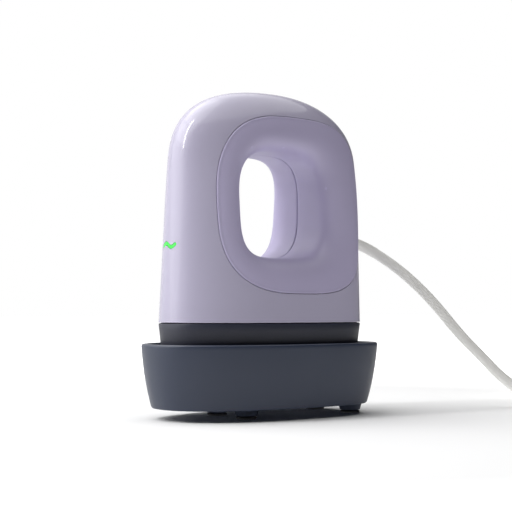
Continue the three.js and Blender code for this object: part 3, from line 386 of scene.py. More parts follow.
coil_middle = COIL_ENTRY + COIL_OUTER * np.array([0.0, 1.0, 0.0])
first_angle = math.atan2(COIL_ENTRY[1] - coil_middle[1], COIL_ENTRY[0] - coil_middle[0])


def coil_point(turns):
    """The cord after so many turns: a layer winds in or out, and then the cord climbs to the next."""
    inward = LAYER_TURNS - abs(turns % (2 * LAYER_TURNS) - LAYER_TURNS)
    climb = sum(share_of(2 * (turns - k * LAYER_TURNS), -0.5, 0.5) for k in range(1, COIL_LAYERS))
    radius, angle = COIL_OUTER - COIL_PITCH * inward, first_angle + 2 * math.pi * turns
    return coil_middle + np.array([radius * math.cos(angle), radius * math.sin(angle), COIL_PITCH * climb])


coil = [coil_point(i / TURN_STEPS) for i in range(int(COIL_LAYERS * LAYER_TURNS * TURN_STEPS) + 1)]
print("coil:", COIL_LAYERS * LAYER_TURNS, "turns in", COIL_LAYERS, "layers")

# %% Lay the tail into the plug
PLUG_PLACE, PLUG_TURN, PLUG_LENGTH, PLUG_LEAD_IN = np.array([253.5, -11.0, 8.5]), 1.4, 30.0, 5
# The cord starts a little way into its sleeve, and runs straight for a moment before the coil.
CORD_START, RUN_IN_STEPS = 1.5, (6, 12, 18)
FREE_POINTS, TAIL_POINTS = 90, 50

plug_heading = np.array([math.cos(PLUG_TURN), math.sin(PLUG_TURN), 0.0])
off_the_coil = steps_from(coil[-1] + 2 * CORD_RADIUS * COIL_HEADING, [
    (0, 0, 0), (8.4, -0.1, -0.6), (16.4, 0.5, -3.0), (25.0, 2.6, -7.0), (33.4, 7.0, -10.8)])
into_the_plug = steps_from(PLUG_PLACE - PLUG_LEAD_IN * plug_heading, [
    (-7.8, -18.1, -3.9), (-3.4, -10.5, -3.6), (-1.1, -4.3, -1.3), (0, 0, 0)])
tail_line = smooth_line(off_the_coil + into_the_plug + [PLUG_PLACE + plug_heading])
run_in = [coil_start + COIL_HEADING * step for step in RUN_IN_STEPS]
route = np.vstack([walked(free_line, FREE_POINTS, CORD_START), run_in, coil,
                   walked(tail_line, TAIL_POINTS)])
cord_length = float(np.linalg.norm(np.diff(route, axis=0), axis=1).sum())
print("cord:", round(cord_length / 1000, 3), "m in", len(route), "points")

# %% [markdown]
# ## Surfaces
# Every moulding of the press has a fine spark-eroded grain, a slow drift in colour and shine where
# plastic cooled unevenly and hands touched it, and paler edges, partly from wear and partly a
# painted highlight that stands in for the thin lines of light along rims and seams. Each material
# could have nodes of its own for this. The effect is the same everywhere, so it is one node group,
# and each material only sets its colour, grain size and shine. Two helpers write nodes as short
# formulas.

# %% Helpers that wire nodes
def feed(tree, socket, value):
    """Sets a socket to a plain value, or links it to the output of another node."""
    if isinstance(value, bpy.types.NodeSocket):
        tree.links.new(value, socket)
    else:
        socket.default_value = value


def maths(tree, operation, *values, clamp=False):
    node = tree.nodes.new("ShaderNodeMath")
    node.operation, node.use_clamp = operation, clamp
    for socket, value in zip(node.inputs, values):
        feed(tree, socket, value)
    return node.outputs["Value"]


def noise(tree, place, scale, detail):
    node = tree.nodes.new("ShaderNodeTexNoise")
    for name, value in (("Vector", place), ("Scale", scale), ("Detail", detail)):
        feed(tree, node.inputs[name], value)
    return node.outputs["Fac"]


# %% One recipe for moulded and coated surfaces
WHITE = (1, 1, 1, 1)
DRIFT_SCALE, SMUDGE_SCALE = 55.0, 170.0
# The two edge values below make convex edges paler: partly wear, partly a painted highlight along rims and
# seams.
EDGE_HIGHLIGHT_START, EDGE_HIGHLIGHT_GAIN, SHINE_SWING = 0.52, 6.0, 1.6
RECIPE_INPUTS = {"Colour": (0.5, 0.5, 0.5, 1), "Roughness": 0.4, "Grain size mm": 0.4, "Mottle": 0.04,
                 "Edge": 0.1}
RECIPE_OUTPUTS = {"Colour": "Color", "Roughness": "Float", "Height": "Float"}


def surface_recipe():
    tree = bpy.data.node_groups.new("surface_recipe", "ShaderNodeTree")
    for name, value in RECIPE_INPUTS.items():
        kind = "NodeSocketColor" if name == "Colour" else "NodeSocketFloat"
        tree.interface.new_socket(name=name, in_out="INPUT", socket_type=kind).default_value = value
    for name, kind in RECIPE_OUTPUTS.items():
        tree.interface.new_socket(name=name, in_out="OUTPUT", socket_type="NodeSocket" + kind)
    given, result = tree.nodes.new("NodeGroupInput").outputs, tree.nodes.new("NodeGroupOutput").inputs
    place = tree.nodes.new("ShaderNodeTexCoord").outputs["Object"]
    grain = noise(tree, place, maths(tree, "DIVIDE", 1 / MM, given["Grain size mm"]), 2.0)
    drift = maths(tree, "SUBTRACT", noise(tree, place, DRIFT_SCALE, 3.0), 0.5)
    smudge = maths(tree, "SUBTRACT", noise(tree, place, SMUDGE_SCALE, 4.0), 0.5)
    pointiness = tree.nodes.new("ShaderNodeNewGeometry").outputs["Pointiness"]
    # Painted highlight, partly wear: the colour is made paler where the surface is pointed, on convex edges.
    edge = maths(tree, "MULTIPLY", maths(tree, "SUBTRACT", pointiness, EDGE_HIGHLIGHT_START), EDGE_HIGHLIGHT_GAIN, clamp=True)
    level = maths(tree, "ADD", 1.0, maths(tree, "MULTIPLY", drift, given["Mottle"]))
    level = maths(tree, "ADD", level, maths(tree, "MULTIPLY", edge, given["Edge"]))
    tint = tree.nodes.new("ShaderNodeVectorMath")
    tint.operation = "SCALE"
    feed(tree, tint.inputs[0], given["Colour"])
    feed(tree, tint.inputs["Scale"], level)
    shine = maths(tree, "MULTIPLY", smudge, maths(tree, "MULTIPLY", given["Mottle"], SHINE_SWING))
    feed(tree, result["Colour"], tint.outputs[0])
    feed(tree, result["Roughness"], maths(tree, "ADD", given["Roughness"], shine))
    feed(tree, result["Height"], grain)
    return tree


RECIPE = surface_recipe()
print("recipe nodes:", len(RECIPE.nodes))

# %% [markdown]
# ## One function for every finish
# A finish on a real press is a colour, a shine, a grain and perhaps a clear coat or bare metal.
# Each material could be wired by hand. One function does it for all of them: what varies over the
# surface reaches the shader from the recipe, and what is the same all over is set on the shader
# itself, because an exported model keeps it only there.

# %% Make a material from the recipe
GRAIN_DEPTH = 0.0002


def linear(level):
    """A colour level of 0 to 255 as an amount of light."""
    share = level / 255
    return share / 12.92 if share <= 0.04045 else ((share + 0.055) / 1.055) ** 2.4


# The edge value sets how much paler convex edges get: partly wear, partly a painted highlight.
def finish(name, colour, roughness, grain, bump, mottle, edge, **extra):
    """A material with its own values for the recipe, and any more values for the shader itself."""
    material = bpy.data.materials.new(name)
    material.use_nodes = True
    tree = material.node_tree
    recipe = tree.nodes.new("ShaderNodeGroup")
    recipe.node_tree = RECIPE
    own_values = (tuple(linear(level) for level in colour) + (1.0,), roughness, grain, mottle, edge)
    for key, value in zip(RECIPE_INPUTS, own_values):
        recipe.inputs[key].default_value = value
    relief = tree.nodes.new("ShaderNodeBump")
    for key, value in (("Strength", bump), ("Distance", GRAIN_DEPTH), ("Height", recipe.outputs["Height"])):
        feed(tree, relief.inputs[key], value)
    shader = tree.nodes["Principled BSDF"].inputs
    feed(tree, shader["Base Color"], recipe.outputs["Colour"])
    feed(tree, shader["Roughness"], recipe.outputs["Roughness"])
    feed(tree, shader["Normal"], relief.outputs["Normal"])
    for key, value in extra.items():
        shader[key.replace("_", " ")].default_value = value
    return material


# %% [markdown]
# ## The lilac and the dark mouldings
# The housing is a glossy lilac with a clear top layer and hardly any grain, and the grips are the
# same plastic with a satin face. The collar and the tray stand heat: they are nearly black, filled
# plastics with a blue tinge and a matt, grainy face. All four could be one plastic in two
# colours, but the difference in shine is what tells them apart, so each has its own roughness.

# %% Finishes of the mouldings outside
lilac = finish("lilac_gloss", (174, 169, 191), 0.36, grain=0.5, bump=0.012, mottle=0.03, edge=0.12,
               Coat_Weight=0.6, Coat_Roughness=0.06)
satin = finish("lilac_satin", (174, 167, 196), 0.42, grain=0.35, bump=0.02, mottle=0.03, edge=0.2)
charcoal = finish("charcoal_matt", (44, 46, 60), 0.42, grain=0.3, bump=0.10, mottle=0.06, edge=0.4,
                  Specular_IOR_Level=0.42)
slate = finish("slate_matt", (47, 54, 72), 0.38, grain=0.35, bump=0.12, mottle=0.06, edge=0.3,
               Specular_IOR_Level=0.45)
vinyl = finish("cord_vinyl", (232, 231, 227), 0.5, grain=0.35, bump=0.1, mottle=0.06, edge=0.1)
print("outside finishes:", ", ".join(m.name for m in (lilac, satin, charcoal, slate, vinyl)))

# %% [markdown]
# ## Rubber, silicone, metal and the light
# The feet are soft rubber, the rests in the tray are silicone, and the plate has a grey non-stick
# coat. The blades of the plug are brass, and the screws and sheets inside are plain metal. The
# light is a clear bar that glows green from within. A lamp behind real glass would be slow to
# render and would hide its colour, so the bar's own colour glows a little instead.

# %% Finishes of pads, metals and the light
GLOW = 0.42

rubber = finish("foot_rubber", (40, 40, 44), 0.8, grain=0.25, bump=0.2, mottle=0.15, edge=0.6)
silicone = finish("pad_silicone", (106, 109, 114), 0.7, grain=0.5, bump=0.1, mottle=0.08, edge=0.2)
coating = finish("plate_coat", (140, 143, 148), 0.35, grain=0.2, bump=0.12, mottle=0.1, edge=0.3,
                 Metallic=0.3)
steel = finish("bare_steel", (180, 182, 184), 0.32, grain=0.15, bump=0.05, mottle=0.15, edge=0.3,
               Metallic=1.0)
sheet = finish("bright_sheet", (196, 198, 199), 0.28, grain=0.6, bump=0.05, mottle=0.12, edge=0.2,
               Metallic=1.0)
brass = finish("bare_brass", (186, 160, 92), 0.3, grain=0.2, bump=0.05, mottle=0.15, edge=0.2, Metallic=1.0)
lit = finish("lit_green", (52, 196, 66), 0.35, grain=0.6, bump=0.04, mottle=0.6, edge=0.1,
             Emission_Strength=GLOW)
lit_nodes = lit.node_tree.nodes
lit_recipe = next(node for node in lit_nodes if node.type == "GROUP")
feed(lit.node_tree, lit_nodes["Principled BSDF"].inputs["Emission Color"], lit_recipe.outputs["Colour"])
print("finishes so far:", len(bpy.data.materials))

# %% [markdown]
# ## The parts inside
# Inside the press are a fibre board over the hot plate, circuit boards, and the moulded cases of
# a switch, a relay and a terminal block. One dull grey would do, as nobody sees them. They get the
# colours that such parts usually have, so that the model still makes sense when it is opened up.

# %% Finishes of the parts inside
fibre = finish("fibre_board", (217, 211, 195), 0.95, grain=0.7, bump=0.5, mottle=0.2, edge=0.1)
lacquer = finish("board_lacquer", (31, 90, 56), 0.4, grain=1.2, bump=0.1, mottle=0.2, edge=0.3)
black = finish("black_moulding", (34, 34, 37), 0.5, grain=0.3, bump=0.1, mottle=0.1, edge=0.4)
blue = finish("blue_moulding", (44, 90, 156), 0.4, grain=0.4, bump=0.05, mottle=0.06, edge=0.2)
green = finish("green_moulding", (46, 122, 74), 0.45, grain=0.4, bump=0.05, mottle=0.06, edge=0.2)
print("finishes:", len(bpy.data.materials))

# %% [markdown]
# ## The table
# The press stands on a pale sweep, a sheet so large that no edge of it shows. A curved backdrop is
# what a studio uses. A flat plane does the same here with two kinds of glow. Away from the press
# it glows for the camera only, and melts into the white behind it. To diffuse rays it glows
# everywhere, as a bright table throws light up at the tray. Close to the press its shadow stays.

# %% Build the table
FLOOR_HALF, FLOOR_GREY, FLOOR_ROUGHNESS, FLOOR_SHINE = 6.0, 0.87, 0.9, 0.1
FLOOR_GLOW, FADE_START, FADE_END = 0.4, 0.2, 0.5


def rising(tree, measure, vector, near, far, high, direction=(0, 0, 0)):
    """A value that grows from 0 to high with a vector's length, or with its run in a direction."""
    node, ramp = tree.nodes.new("ShaderNodeVectorMath"), tree.nodes.new("ShaderNodeMapRange")
    node.operation = measure
    feed(tree, node.inputs[0], vector)
    feed(tree, node.inputs[1], direction)
    feed(tree, ramp.inputs["Value"], node.outputs["Value"])
    for key, value in (("From Min", near), ("From Max", far), ("To Max", high)):
        ramp.inputs[key].default_value = value
    return ramp.outputs["Result"]


def pale_sweep():
    material = bpy.data.materials.new("pale_sweep")
    material.use_nodes = True
    tree = material.node_tree
    place = tree.nodes.new("ShaderNodeTexCoord").outputs["Object"]
    ray = tree.nodes.new("ShaderNodeLightPath").outputs
    upward = maths(tree, "MULTIPLY", ray["Is Diffuse Ray"], FLOOR_GLOW)
    far_out = rising(tree, "LENGTH", place, FADE_START, FADE_END, 1.0)
    glow = maths(tree, "MULTIPLY_ADD", far_out, ray["Is Camera Ray"], upward)
    shader = {"Base Color": (FLOOR_GREY, FLOOR_GREY, FLOOR_GREY, 1), "Roughness": FLOOR_ROUGHNESS,
              "Specular IOR Level": FLOOR_SHINE, "Emission Color": WHITE, "Emission Strength": glow}
    for key, value in shader.items():
        feed(tree, tree.nodes["Principled BSDF"].inputs[key], value)
    return material


floor_mesh = bpy.data.meshes.new("floor")
floor_corners = [(x * FLOOR_HALF, y * FLOOR_HALF, 0) for x, y in ((-1, -1), (1, -1), (1, 1), (-1, 1))]
floor_mesh.from_pydata(floor_corners, [], [(0, 1, 2, 3)])
floor_mesh.materials.append(pale_sweep())
add_object("floor", floor_mesh)
print("table:", 2 * FLOOR_HALF, "m wide")

# %% [markdown]
# ## The light
# The photograph has soft light from above, and reflections that run down the nose and round the
# crown. One large soft box would give the softness and none of the shape. So a wide lamp hangs
# overhead, another high on the left behind, one lower on the left, and a faint one at the back. A
# narrow strip lamp draws the bright streak on the nose.

# %% Hang the lamps
PRESS_MIDDLE, NOSE_ROLL = (0, 0, 0.06), (-0.04, 0, 0.117)


def hang_lamp(name, place, target, width, power, height=None):
    """A lamp in metres and watts: a disc, or a rectangle where it has a height."""
    lamp = add_object(name, bpy.data.lights.new(name, "AREA"))
    lamp.data.shape, lamp.data.size = "RECTANGLE" if height else "DISK", width
    if height:
        lamp.data.size_y = height
    lamp.data.energy = power
    lamp.location = Vector(place)
    lamp.rotation_euler = (Vector(target) - Vector(place)).to_track_quat("-Z", "Y").to_euler()


hang_lamp("side", (-0.72, 0.54, 0.45), PRESS_MIDDLE, width=0.9, power=2.7)
hang_lamp("back", (-0.26, 0.82, 0.45), PRESS_MIDDLE, width=0.9, power=0.3)
hang_lamp("top", (0.06, 0.08, 1.1), PRESS_MIDDLE, width=1.8, power=11.0)
hang_lamp("high", (-0.45, 0.35, 1.0), PRESS_MIDDLE, width=1.5, power=8.4)
hang_lamp("strip", (-0.70, 0.14, 0.66), NOSE_ROLL, width=0.07, power=2.6, height=0.62)
print("lamps:", len(bpy.data.lights))

# %% [markdown]
# ## The surround
# The photograph's background is pure white, and the glossy housing mirrors a bright side behind it
# on the left. A white room would give both, but it would also light the press from everywhere and
# wash its shading out. So the world tells rays apart: the camera sees plain white, glossy faces
# see a glow towards the back left, and nothing else gets light from it.

# %% Put white all round
BACK_LEFT, SHINE_START, SHINE_END, SHINE_LEVEL = (-0.3, 0.95, 0.0), 0.1, 0.6, 0.9


def white_surround():
    world = bpy.data.worlds.new("surround")
    world.use_nodes = True
    tree = world.node_tree
    direction = tree.nodes.new("ShaderNodeTexCoord").outputs["Generated"]
    ray = tree.nodes.new("ShaderNodeLightPath").outputs
    shine = rising(tree, "DOT_PRODUCT", direction, SHINE_START, SHINE_END, SHINE_LEVEL, BACK_LEFT)
    reflected, seen = tree.nodes["Background"], tree.nodes.new("ShaderNodeBackground")
    feed(tree, reflected.inputs["Strength"], maths(tree, "MULTIPLY", shine, ray["Is Glossy Ray"]))
    choice = tree.nodes.new("ShaderNodeMixShader")
    feed(tree, choice.inputs[0], ray["Is Camera Ray"])
    for slot, background in ((1, reflected), (2, seen)):
        background.inputs["Color"].default_value = WHITE
        feed(tree, choice.inputs[slot], background.outputs[0])
    feed(tree, tree.nodes["World Output"].inputs["Surface"], choice.outputs[0])
    return world


bpy.context.scene.world = white_surround()
bpy.context.scene.view_settings.view_transform = "Standard"
print("surround:", bpy.context.scene.world.name)

# %% [markdown]
# ## The cord
# The lead is two insulated wires in one round sheath, laid without a joint from the sleeve to the
# plug. A curve object with a bevel would draw it in a line or two. A mesh tube along the route is
# made instead. On the real press the upper part follows the press when that is lifted, while the
# rest stays on the table; here the tube rides on no body and stays where it is laid.

# %% Make the cord
def tube_rings(points, radii, count):
    """A ring round each point of a line, square to the way the line runs there."""
    rings = []
    for i, (point, radius) in enumerate(zip(points, radii)):
        onward = points[min(i + 1, len(points) - 1)] - points[max(i - 1, 0)]
        onward /= np.linalg.norm(onward)
        across = np.cross((0, 0, 1), onward)
        across /= np.linalg.norm(across)
        lift = np.cross(onward, across)
        rings.append([point + radius * (math.cos(a) * across + math.sin(a) * lift) for a in circle(count)])
    return rings


cord_skin = Skin()
cord_skin.closed_stack(tube_rings(route, [CORD_RADIUS] * len(route), count=16))
cord = new_piece("mains_cord", cord_skin, vinyl, None,
                 ("cord_free", "cord_coil", "cord_tail"))
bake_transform(cord)

# %% [markdown]
# ## The sleeve
# The sleeve guards the cord's bend at the housing. It is soft, so it is moulded with grooves all
# round that let it flex, it tapers to the cord, and a flange on each side of the housing's wall
# holds it. The grooves could be a bump in its material, but they show in its outline, so the
# radius itself dips along the same line that the cord follows.

# %% Make the ribbed sleeve
SLEEVE_START, SLEEVE_END, SLEEVE_RINGS = 0.3, 20.5, 84
ROOT_RADIUS, TIP_RADIUS, TAPER_RUN, TAPER_POWER = 3.9, 2.42, 12, 1.6
GROOVE_START, GROOVE_END, GROOVE_PITCH, GROOVE_DEPTH = 3.2, 9.8, 2.2, 0.3
WALL_CLEARANCE = 0.3


def sleeve_radius(run):
    radius = blend_value(TIP_RADIUS, ROOT_RADIUS, max(0.0, 1 - run / TAPER_RUN) ** TAPER_POWER)
    groove = 0.5 - 0.5 * math.cos(2 * math.pi * (run - GROOVE_START) / GROOVE_PITCH)
    return radius - (GROOVE_DEPTH * groove ** 2 if GROOVE_START < run < GROOVE_END else 0.0)


wall_x = back_x(SLEEVE_Z, WALL) - WALL_CLEARANCE
sleeve_line = walked(free_line, SLEEVE_RINGS, SLEEVE_START, SLEEVE_END)
sleeve = Skin()
sleeve.closed_stack(tube_rings(
    sleeve_line, [sleeve_radius(k / (SLEEVE_RINGS - 1) * SLEEVE_END) for k in range(SLEEVE_RINGS)],
    count=40))
sleeve.closed_stack(turned([
    (wall_x - 3.4, 0), (wall_x - 3.4, 5.8), (wall_x - 3.2, 6.0), (wall_x - 0.2, 6.0), (wall_x, 5.8),
    (wall_x, 4.0), (sleeve_x + 0.3, 4.0), (sleeve_x + 0.3, 4.9), (sleeve_x + 0.5, 5.2), (sleeve_x + 1.5, 5.2),
    (sleeve_x + 1.9, 5.05), (sleeve_x + 2.1, 4.7), (sleeve_x + 2.1, 0)], (0, 0, SLEEVE_Z), "X"))
new_piece("bend_sleeve", sleeve, vinyl, "press", ("strain_relief",))

# %% [markdown]
# ## The plug
# The plug is moulded round the cord's end in the same vinyl: a round neck, a flat body that is
# nearly a rectangle, and ridges for the fingers. A box with rounded edges would miss how the neck
# grows into the body. So it is a stack of rings again, each with a width and a height of its own,
# round on the neck and nearly square on the body. Between the ridges the rings draw in a little.

# %% Make the plug's body
PLUG_HALF_WIDTH, PLUG_HALF_HEIGHT, ROUND, NEARLY_SQUARE = 12.5, 8.5, 1.0, 0.6
NECK_END, BODY_START, BODY_RUN, BODY_RINGS = 8, 16, 13, 40
RIDGES_FROM, RIDGES_TO, RIDGE_PITCH, RIDGE_DEPTH, SHARE_IN_HEIGHT = 17, 27, 2.2, 0.35, 0.4


def on_plug(x, y, z):
    """A point of the plug, x towards its blades and y across them, where the plug lies."""
    c, s = math.cos(PLUG_TURN), math.sin(PLUG_TURN)
    return (PLUG_PLACE[0] + c * x - s * y, PLUG_PLACE[1] + s * x + c * y, PLUG_PLACE[2] + z)


def plug_ring(x, half_y, half_z):
    power = ROUND if x < NECK_END else NEARLY_SQUARE
    corners = [(math.cos(angle), math.sin(angle)) for angle in circle(RING_POINTS)]
    return [on_plug(x, math.copysign(half_y * abs(c) ** power, c), math.copysign(half_z * abs(s) ** power, s))
            for c, s in corners]


plug_sizes = [(0.3, 2.9, 2.9), (0.5, 3.3, 3.3), (2, 3.5, 3.5), (5, 3.8, 3.8), (8, 4.2, 4.2), (10, 5.8, 5.0),
              (12, 8.4, 6.5), (14, 11.0, 7.7), (16, 12.3, 8.4)]
for x in [BODY_START + BODY_RUN * k / BODY_RINGS for k in range(1, BODY_RINGS)]:
    dip = 0.5 - 0.5 * math.cos(2 * math.pi * (x - BODY_START) / RIDGE_PITCH)
    groove = RIDGE_DEPTH * dip if RIDGES_FROM < x < RIDGES_TO else 0.0
    plug_sizes.append((x, PLUG_HALF_WIDTH - groove, PLUG_HALF_HEIGHT - SHARE_IN_HEIGHT * groove))
plug_sizes += [(29.3, 12.4, 8.4), (29.7, 12.2, 8.2), (29.95, 11.8, 7.8), (30, 11.2, 7.3)]
plug_skin = Skin()
plug_skin.closed_stack([plug_ring(*sizes) for sizes in plug_sizes])
plug = new_piece("mains_plug", plug_skin, vinyl, "base", ("plug_body",))

# %% [markdown]
# ## The blades
# Two flat brass blades stand out of the plug, each with a round hole near its tip, and the tip is
# narrowed so that it finds the socket. A box with a hole cut through it would do. The blade is
# built round its hole instead, in rings from the hole out to the rim, over the rim and back on the
# other side, because that gives clean faces and a chamfer all round.

# %% Make the plug's blades
BLADE_LENGTH, BLADE_HALF_HEIGHT, BLADE_HALF, BLADE_EDGE = 17.0, 3.15, 0.75, 0.2
BLADE_START, BLADE_OFFSET = PLUG_LENGTH + 0.3, 6.35
HOLE_AT, HOLE_RADIUS, TIP_AT, TIP_SLOPE = 13.2, 1.5, 15.4, 0.45


def blade_rim(angle):
    """Where a line from the hole's middle meets the blade's outline, which narrows at its tip."""
    c, s = math.cos(angle), math.sin(angle)
    room = BLADE_LENGTH - HOLE_AT if c > 0 else HOLE_AT
    run = min(room / max(abs(c), HARDLY_ANY), BLADE_HALF_HEIGHT / max(abs(s), HARDLY_ANY))
    x, z = HOLE_AT + run * c, run * s
    half_height = BLADE_HALF_HEIGHT - TIP_SLOPE * max(0.0, x - TIP_AT)
    return (x, math.copysign(min(abs(z), half_height), z))


def plug_blade(name, way):
    """A flat blade with chamfered edges, a narrower tip and a round hole."""
    def placed(loop, y, tight=0.0):
        ring = []
        for x, z in loop:
            x -= tight if x > HOLE_AT else -tight
            z -= math.copysign(tight, z) if abs(z) > tight else 0.0
            ring.append(on_plug(BLADE_START + x, way * BLADE_OFFSET + y, z))
        return ring

    hole = [(HOLE_AT + HOLE_RADIUS * math.cos(angle), HOLE_RADIUS * math.sin(angle))
            for angle in circle(RING_POINTS)]
    rim = [blade_rim(angle) for angle in circle(RING_POINTS)]
    skin, half, chamfered = Skin(), BLADE_HALF, BLADE_HALF - BLADE_EDGE
    loops = skin.stack([placed(hole, -half), placed(rim, -half, BLADE_EDGE), placed(rim, -chamfered),
                        placed(rim, chamfered), placed(rim, half, BLADE_EDGE), placed(hole, half)])
    skin.join(loops[-1], loops[0])
    return new_piece(name, skin, brass, "base", ("plug_" + name,))


blades = [plug_blade("blade_left", -1), plug_blade("blade_right", 1)]

# %% [markdown]
# ## The edges on the flank
# Each flank of the housing is open, and a grip fills the opening. The joint between them, the
# seam, is a rounded shape with a wider curve at the top of the nose, and the handle's opening
# inside it has four different corners. Both could be traced as curves. A formula with a power for
# each corner draws them instead: the larger the power, the squarer the corner.

# %% The seam and the handle's opening
SEAM_MIDDLE, SEAM_HALF = (WIDEST_X + 1.0, COLLAR_TOP + 49.4), (37.7, 37.4)
SEAM_CORNERS = {("nose", "top"): 2.6, ("nose", "foot"): 3.1, ("back", "top"): 4.0, ("back", "foot"): 3.1}
HOLE_MIDDLE, HOLE_HALF = (WIDEST_X - 2.7, COLLAR_TOP + 49.5), (20.9, 22.4)
HOLE_CORNERS = {("nose", "top"): 2.85, ("nose", "foot"): 4.3, ("back", "top"): 3.3, ("back", "foot"): 3.1}


def rounded(middle, half, corners, angle, grow):
    """The point at an angle on a rounded shape in the XZ plane, made larger all round by grow."""
    c, s = math.cos(angle), math.sin(angle)
    power = 2 / corners["nose" if c < 0 else "back", "top" if s > 0 else "foot"]
    return (middle[0] + math.copysign((half[0] + grow) * abs(c) ** power, c),
            middle[1] + math.copysign((half[1] + grow) * abs(s) ** power, s))


def seam_edge(angle, grow=0.0):
    return rounded(SEAM_MIDDLE, SEAM_HALF, SEAM_CORNERS, angle, grow)


def hole_edge(angle, grow=0.0):
    return rounded(HOLE_MIDDLE, HOLE_HALF, HOLE_CORNERS, angle, grow)


print("seam:", [2 * half for half in SEAM_HALF], "mm; opening:", [2 * half for half in HOLE_HALF], "mm")

# %% [markdown]
# ## The housing
# The housing is one arch-shaped moulding with a 2.2 mm wall. Its flank could be made whole and the
# grip's opening cut out of it, but a cut edge is ragged in the mesh and spoils the gloss. So the
# flank is laid out flat, with its turn from back to nose across and its level up. On this layout
# spokes run from the seam to the border, which is the middle of the nose, the crown, the middle
# of the back and the foot, and rings across the spokes make the skin.

# %% Lay out the flank
FOOT_LIFT = 0.3
FOOT_EDGE = FOOT_LIFT + 0.9
LOWER_SHARE, UPPER_SHARE = 0.3, 0.7
LAYOUT_MIDDLE, FINE_STEPS = np.array([0.5, 0.40]), 1440
FOOT_SPOKES, SIDE_SPOKES, CROWN_SPOKES = 130, 90, 44


def height_at(level, inset):
    """The height over the collar at a level of the layout, from 0 at the foot to 1 at the crown."""
    if level < LOWER_SHARE:
        return blend_value(FOOT_EDGE, SHOULDER, level / LOWER_SHARE)
    upper = (level - LOWER_SHARE) / UPPER_SHARE
    return SHOULDER + (BODY_HEIGHT - inset - SHOULDER) * math.sin(upper * math.pi / 2)


def level_at(height, inset):
    if height < SHOULDER:
        return LOWER_SHARE * (height - FOOT_EDGE) / (SHOULDER - FOOT_EDGE)
    rise = share_of(height, SHOULDER, BODY_HEIGHT - inset)
    return LOWER_SHARE + UPPER_SHARE * math.asin(rise) * 2 / math.pi


def on_layout(x, z, inset):
    return (math.atan2(flank(x, z, inset), x - WIDEST_X) / math.pi, level_at(z - COLLAR_TOP, inset))


def on_form(turn, height, inset, way):
    """The form's point at a turn from 0 at the back to 1 at the nose, on the side that way gives."""
    x, y, z = plan_point(turn * math.pi, COLLAR_TOP + height, *section(height, inset))
    return (x, way * y, z)


seam_ends = [on_layout(*seam_edge(angle), 0.0)[1] for angle in (-math.pi / 2, math.pi / 2)]
print("the seam goes from level", round(seam_ends[0], 2), "to", round(seam_ends[1], 2))

# %% Run spokes from the seam to the border
SEAM_STEP = 0.22


def layout_border():
    """Places round the layout's border, anticlockwise from the foot of the back."""
    border = [(k / FOOT_SPOKES, 0.0) for k in range(FOOT_SPOKES)]
    border += [(1.0, k / SIDE_SPOKES) for k in range(SIDE_SPOKES)]
    border += [(1 - k / CROWN_SPOKES, 1.0) for k in range(CROWN_SPOKES)]
    return border + [(0.0, 1 - k / SIDE_SPOKES) for k in range(SIDE_SPOKES)]


def angles_facing(border):
    """For each border place, the seam's angle on the straight line to the middle of the layout."""
    angles = np.linspace(0, 2 * math.pi, FINE_STEPS + 1)
    seam = np.array([on_layout(*seam_edge(angle, SEAM_STEP), 0.0) for angle in angles])
    seen_from_middle = np.unwrap(np.arctan2(*(seam - LAYOUT_MIDDLE).T[::-1]))
    wanted = np.arctan2(*(np.array(border) - LAYOUT_MIDDLE).T[::-1])
    wanted = seen_from_middle.min() + np.mod(wanted - seen_from_middle.min(), 2 * math.pi)
    return np.interp(wanted, seen_from_middle[::-1], angles[::-1])


BORDER = layout_border()
SPOKE_ANGLES = angles_facing(BORDER)


def flank_rings(way, inset, grow, count):
    """Rings from the border in to the seam, on the outside of the wall or that much inside it."""
    rings = []
    for share in [k / count for k in range(count + 1)]:
        ring = []
        for (turn, level), angle in zip(BORDER, SPOKE_ANGLES):
            at_seam = on_layout(*seam_edge(angle, grow), inset)
            height = height_at(blend_value(level, at_seam[1], share), inset)
            ring.append(on_form(blend_value(turn, at_seam[0], share), height, inset, way))
        rings.append(ring)
    return rings


print("spokes:", len(BORDER))

# %% [markdown]
# ## The housing's edges
# At the seam the moulding rolls over into the joint, and at its foot it turns out by a hair and
# then under. These small rolls catch the thin lines of light that make an edge look real. A bevel
# could round them, but it can't turn out first, so they are rings of their own between the outside
# of the wall and its inside.

# %% Build the housing's skin
FLANK_RINGS, INNER_RINGS = 30, 8
EDGE_ROLL = ((0.07, 0.04), (0.0, 0.2))
FOOT_ROLL = ((-0.03, 0.75), (-0.1, 0.55), (-0.14, 0.35), (-0.13, 0.2), (-0.07, 0.08), (0.05, 0.01),
             (0.2, 0.0), (2.0, 0.0))


def edge_ring(way, grow, depth):
    """A ring where the skin rolls over into the joint at the seam."""
    places = [seam_edge(angle, grow) for angle in SPOKE_ANGLES]
    return [(x, way * (flank(x, z) - depth), z) for x, z in places]


def foot_strip(way, inset, up):
    """A strip where the skin turns out a little and then under, at the housing's foot."""
    return [on_form(k / FOOT_SPOKES, FOOT_LIFT + up, inset, way) for k in range(FOOT_SPOKES + 1)]


shell = Skin()
for way in (-1, 1):
    outer_rings = flank_rings(way, 0.0, SEAM_STEP, FLANK_RINGS)
    edge_rings = [edge_ring(way, *roll) for roll in EDGE_ROLL]
    loops = shell.stack(outer_rings + edge_rings + flank_rings(way, WALL, 0.0, INNER_RINGS)[::-1])
    strips = [shell.ring(foot_strip(way, *roll)) for roll in FOOT_ROLL]
    outer_foot, inner_foot = loops[0][:FOOT_SPOKES + 1], loops[-1][:FOOT_SPOKES + 1]
    for a, b in zip([outer_foot] + strips, strips + [inner_foot]):
        shell.join(a, b, closed=False)
print("housing skin:", len(shell.points), "points")

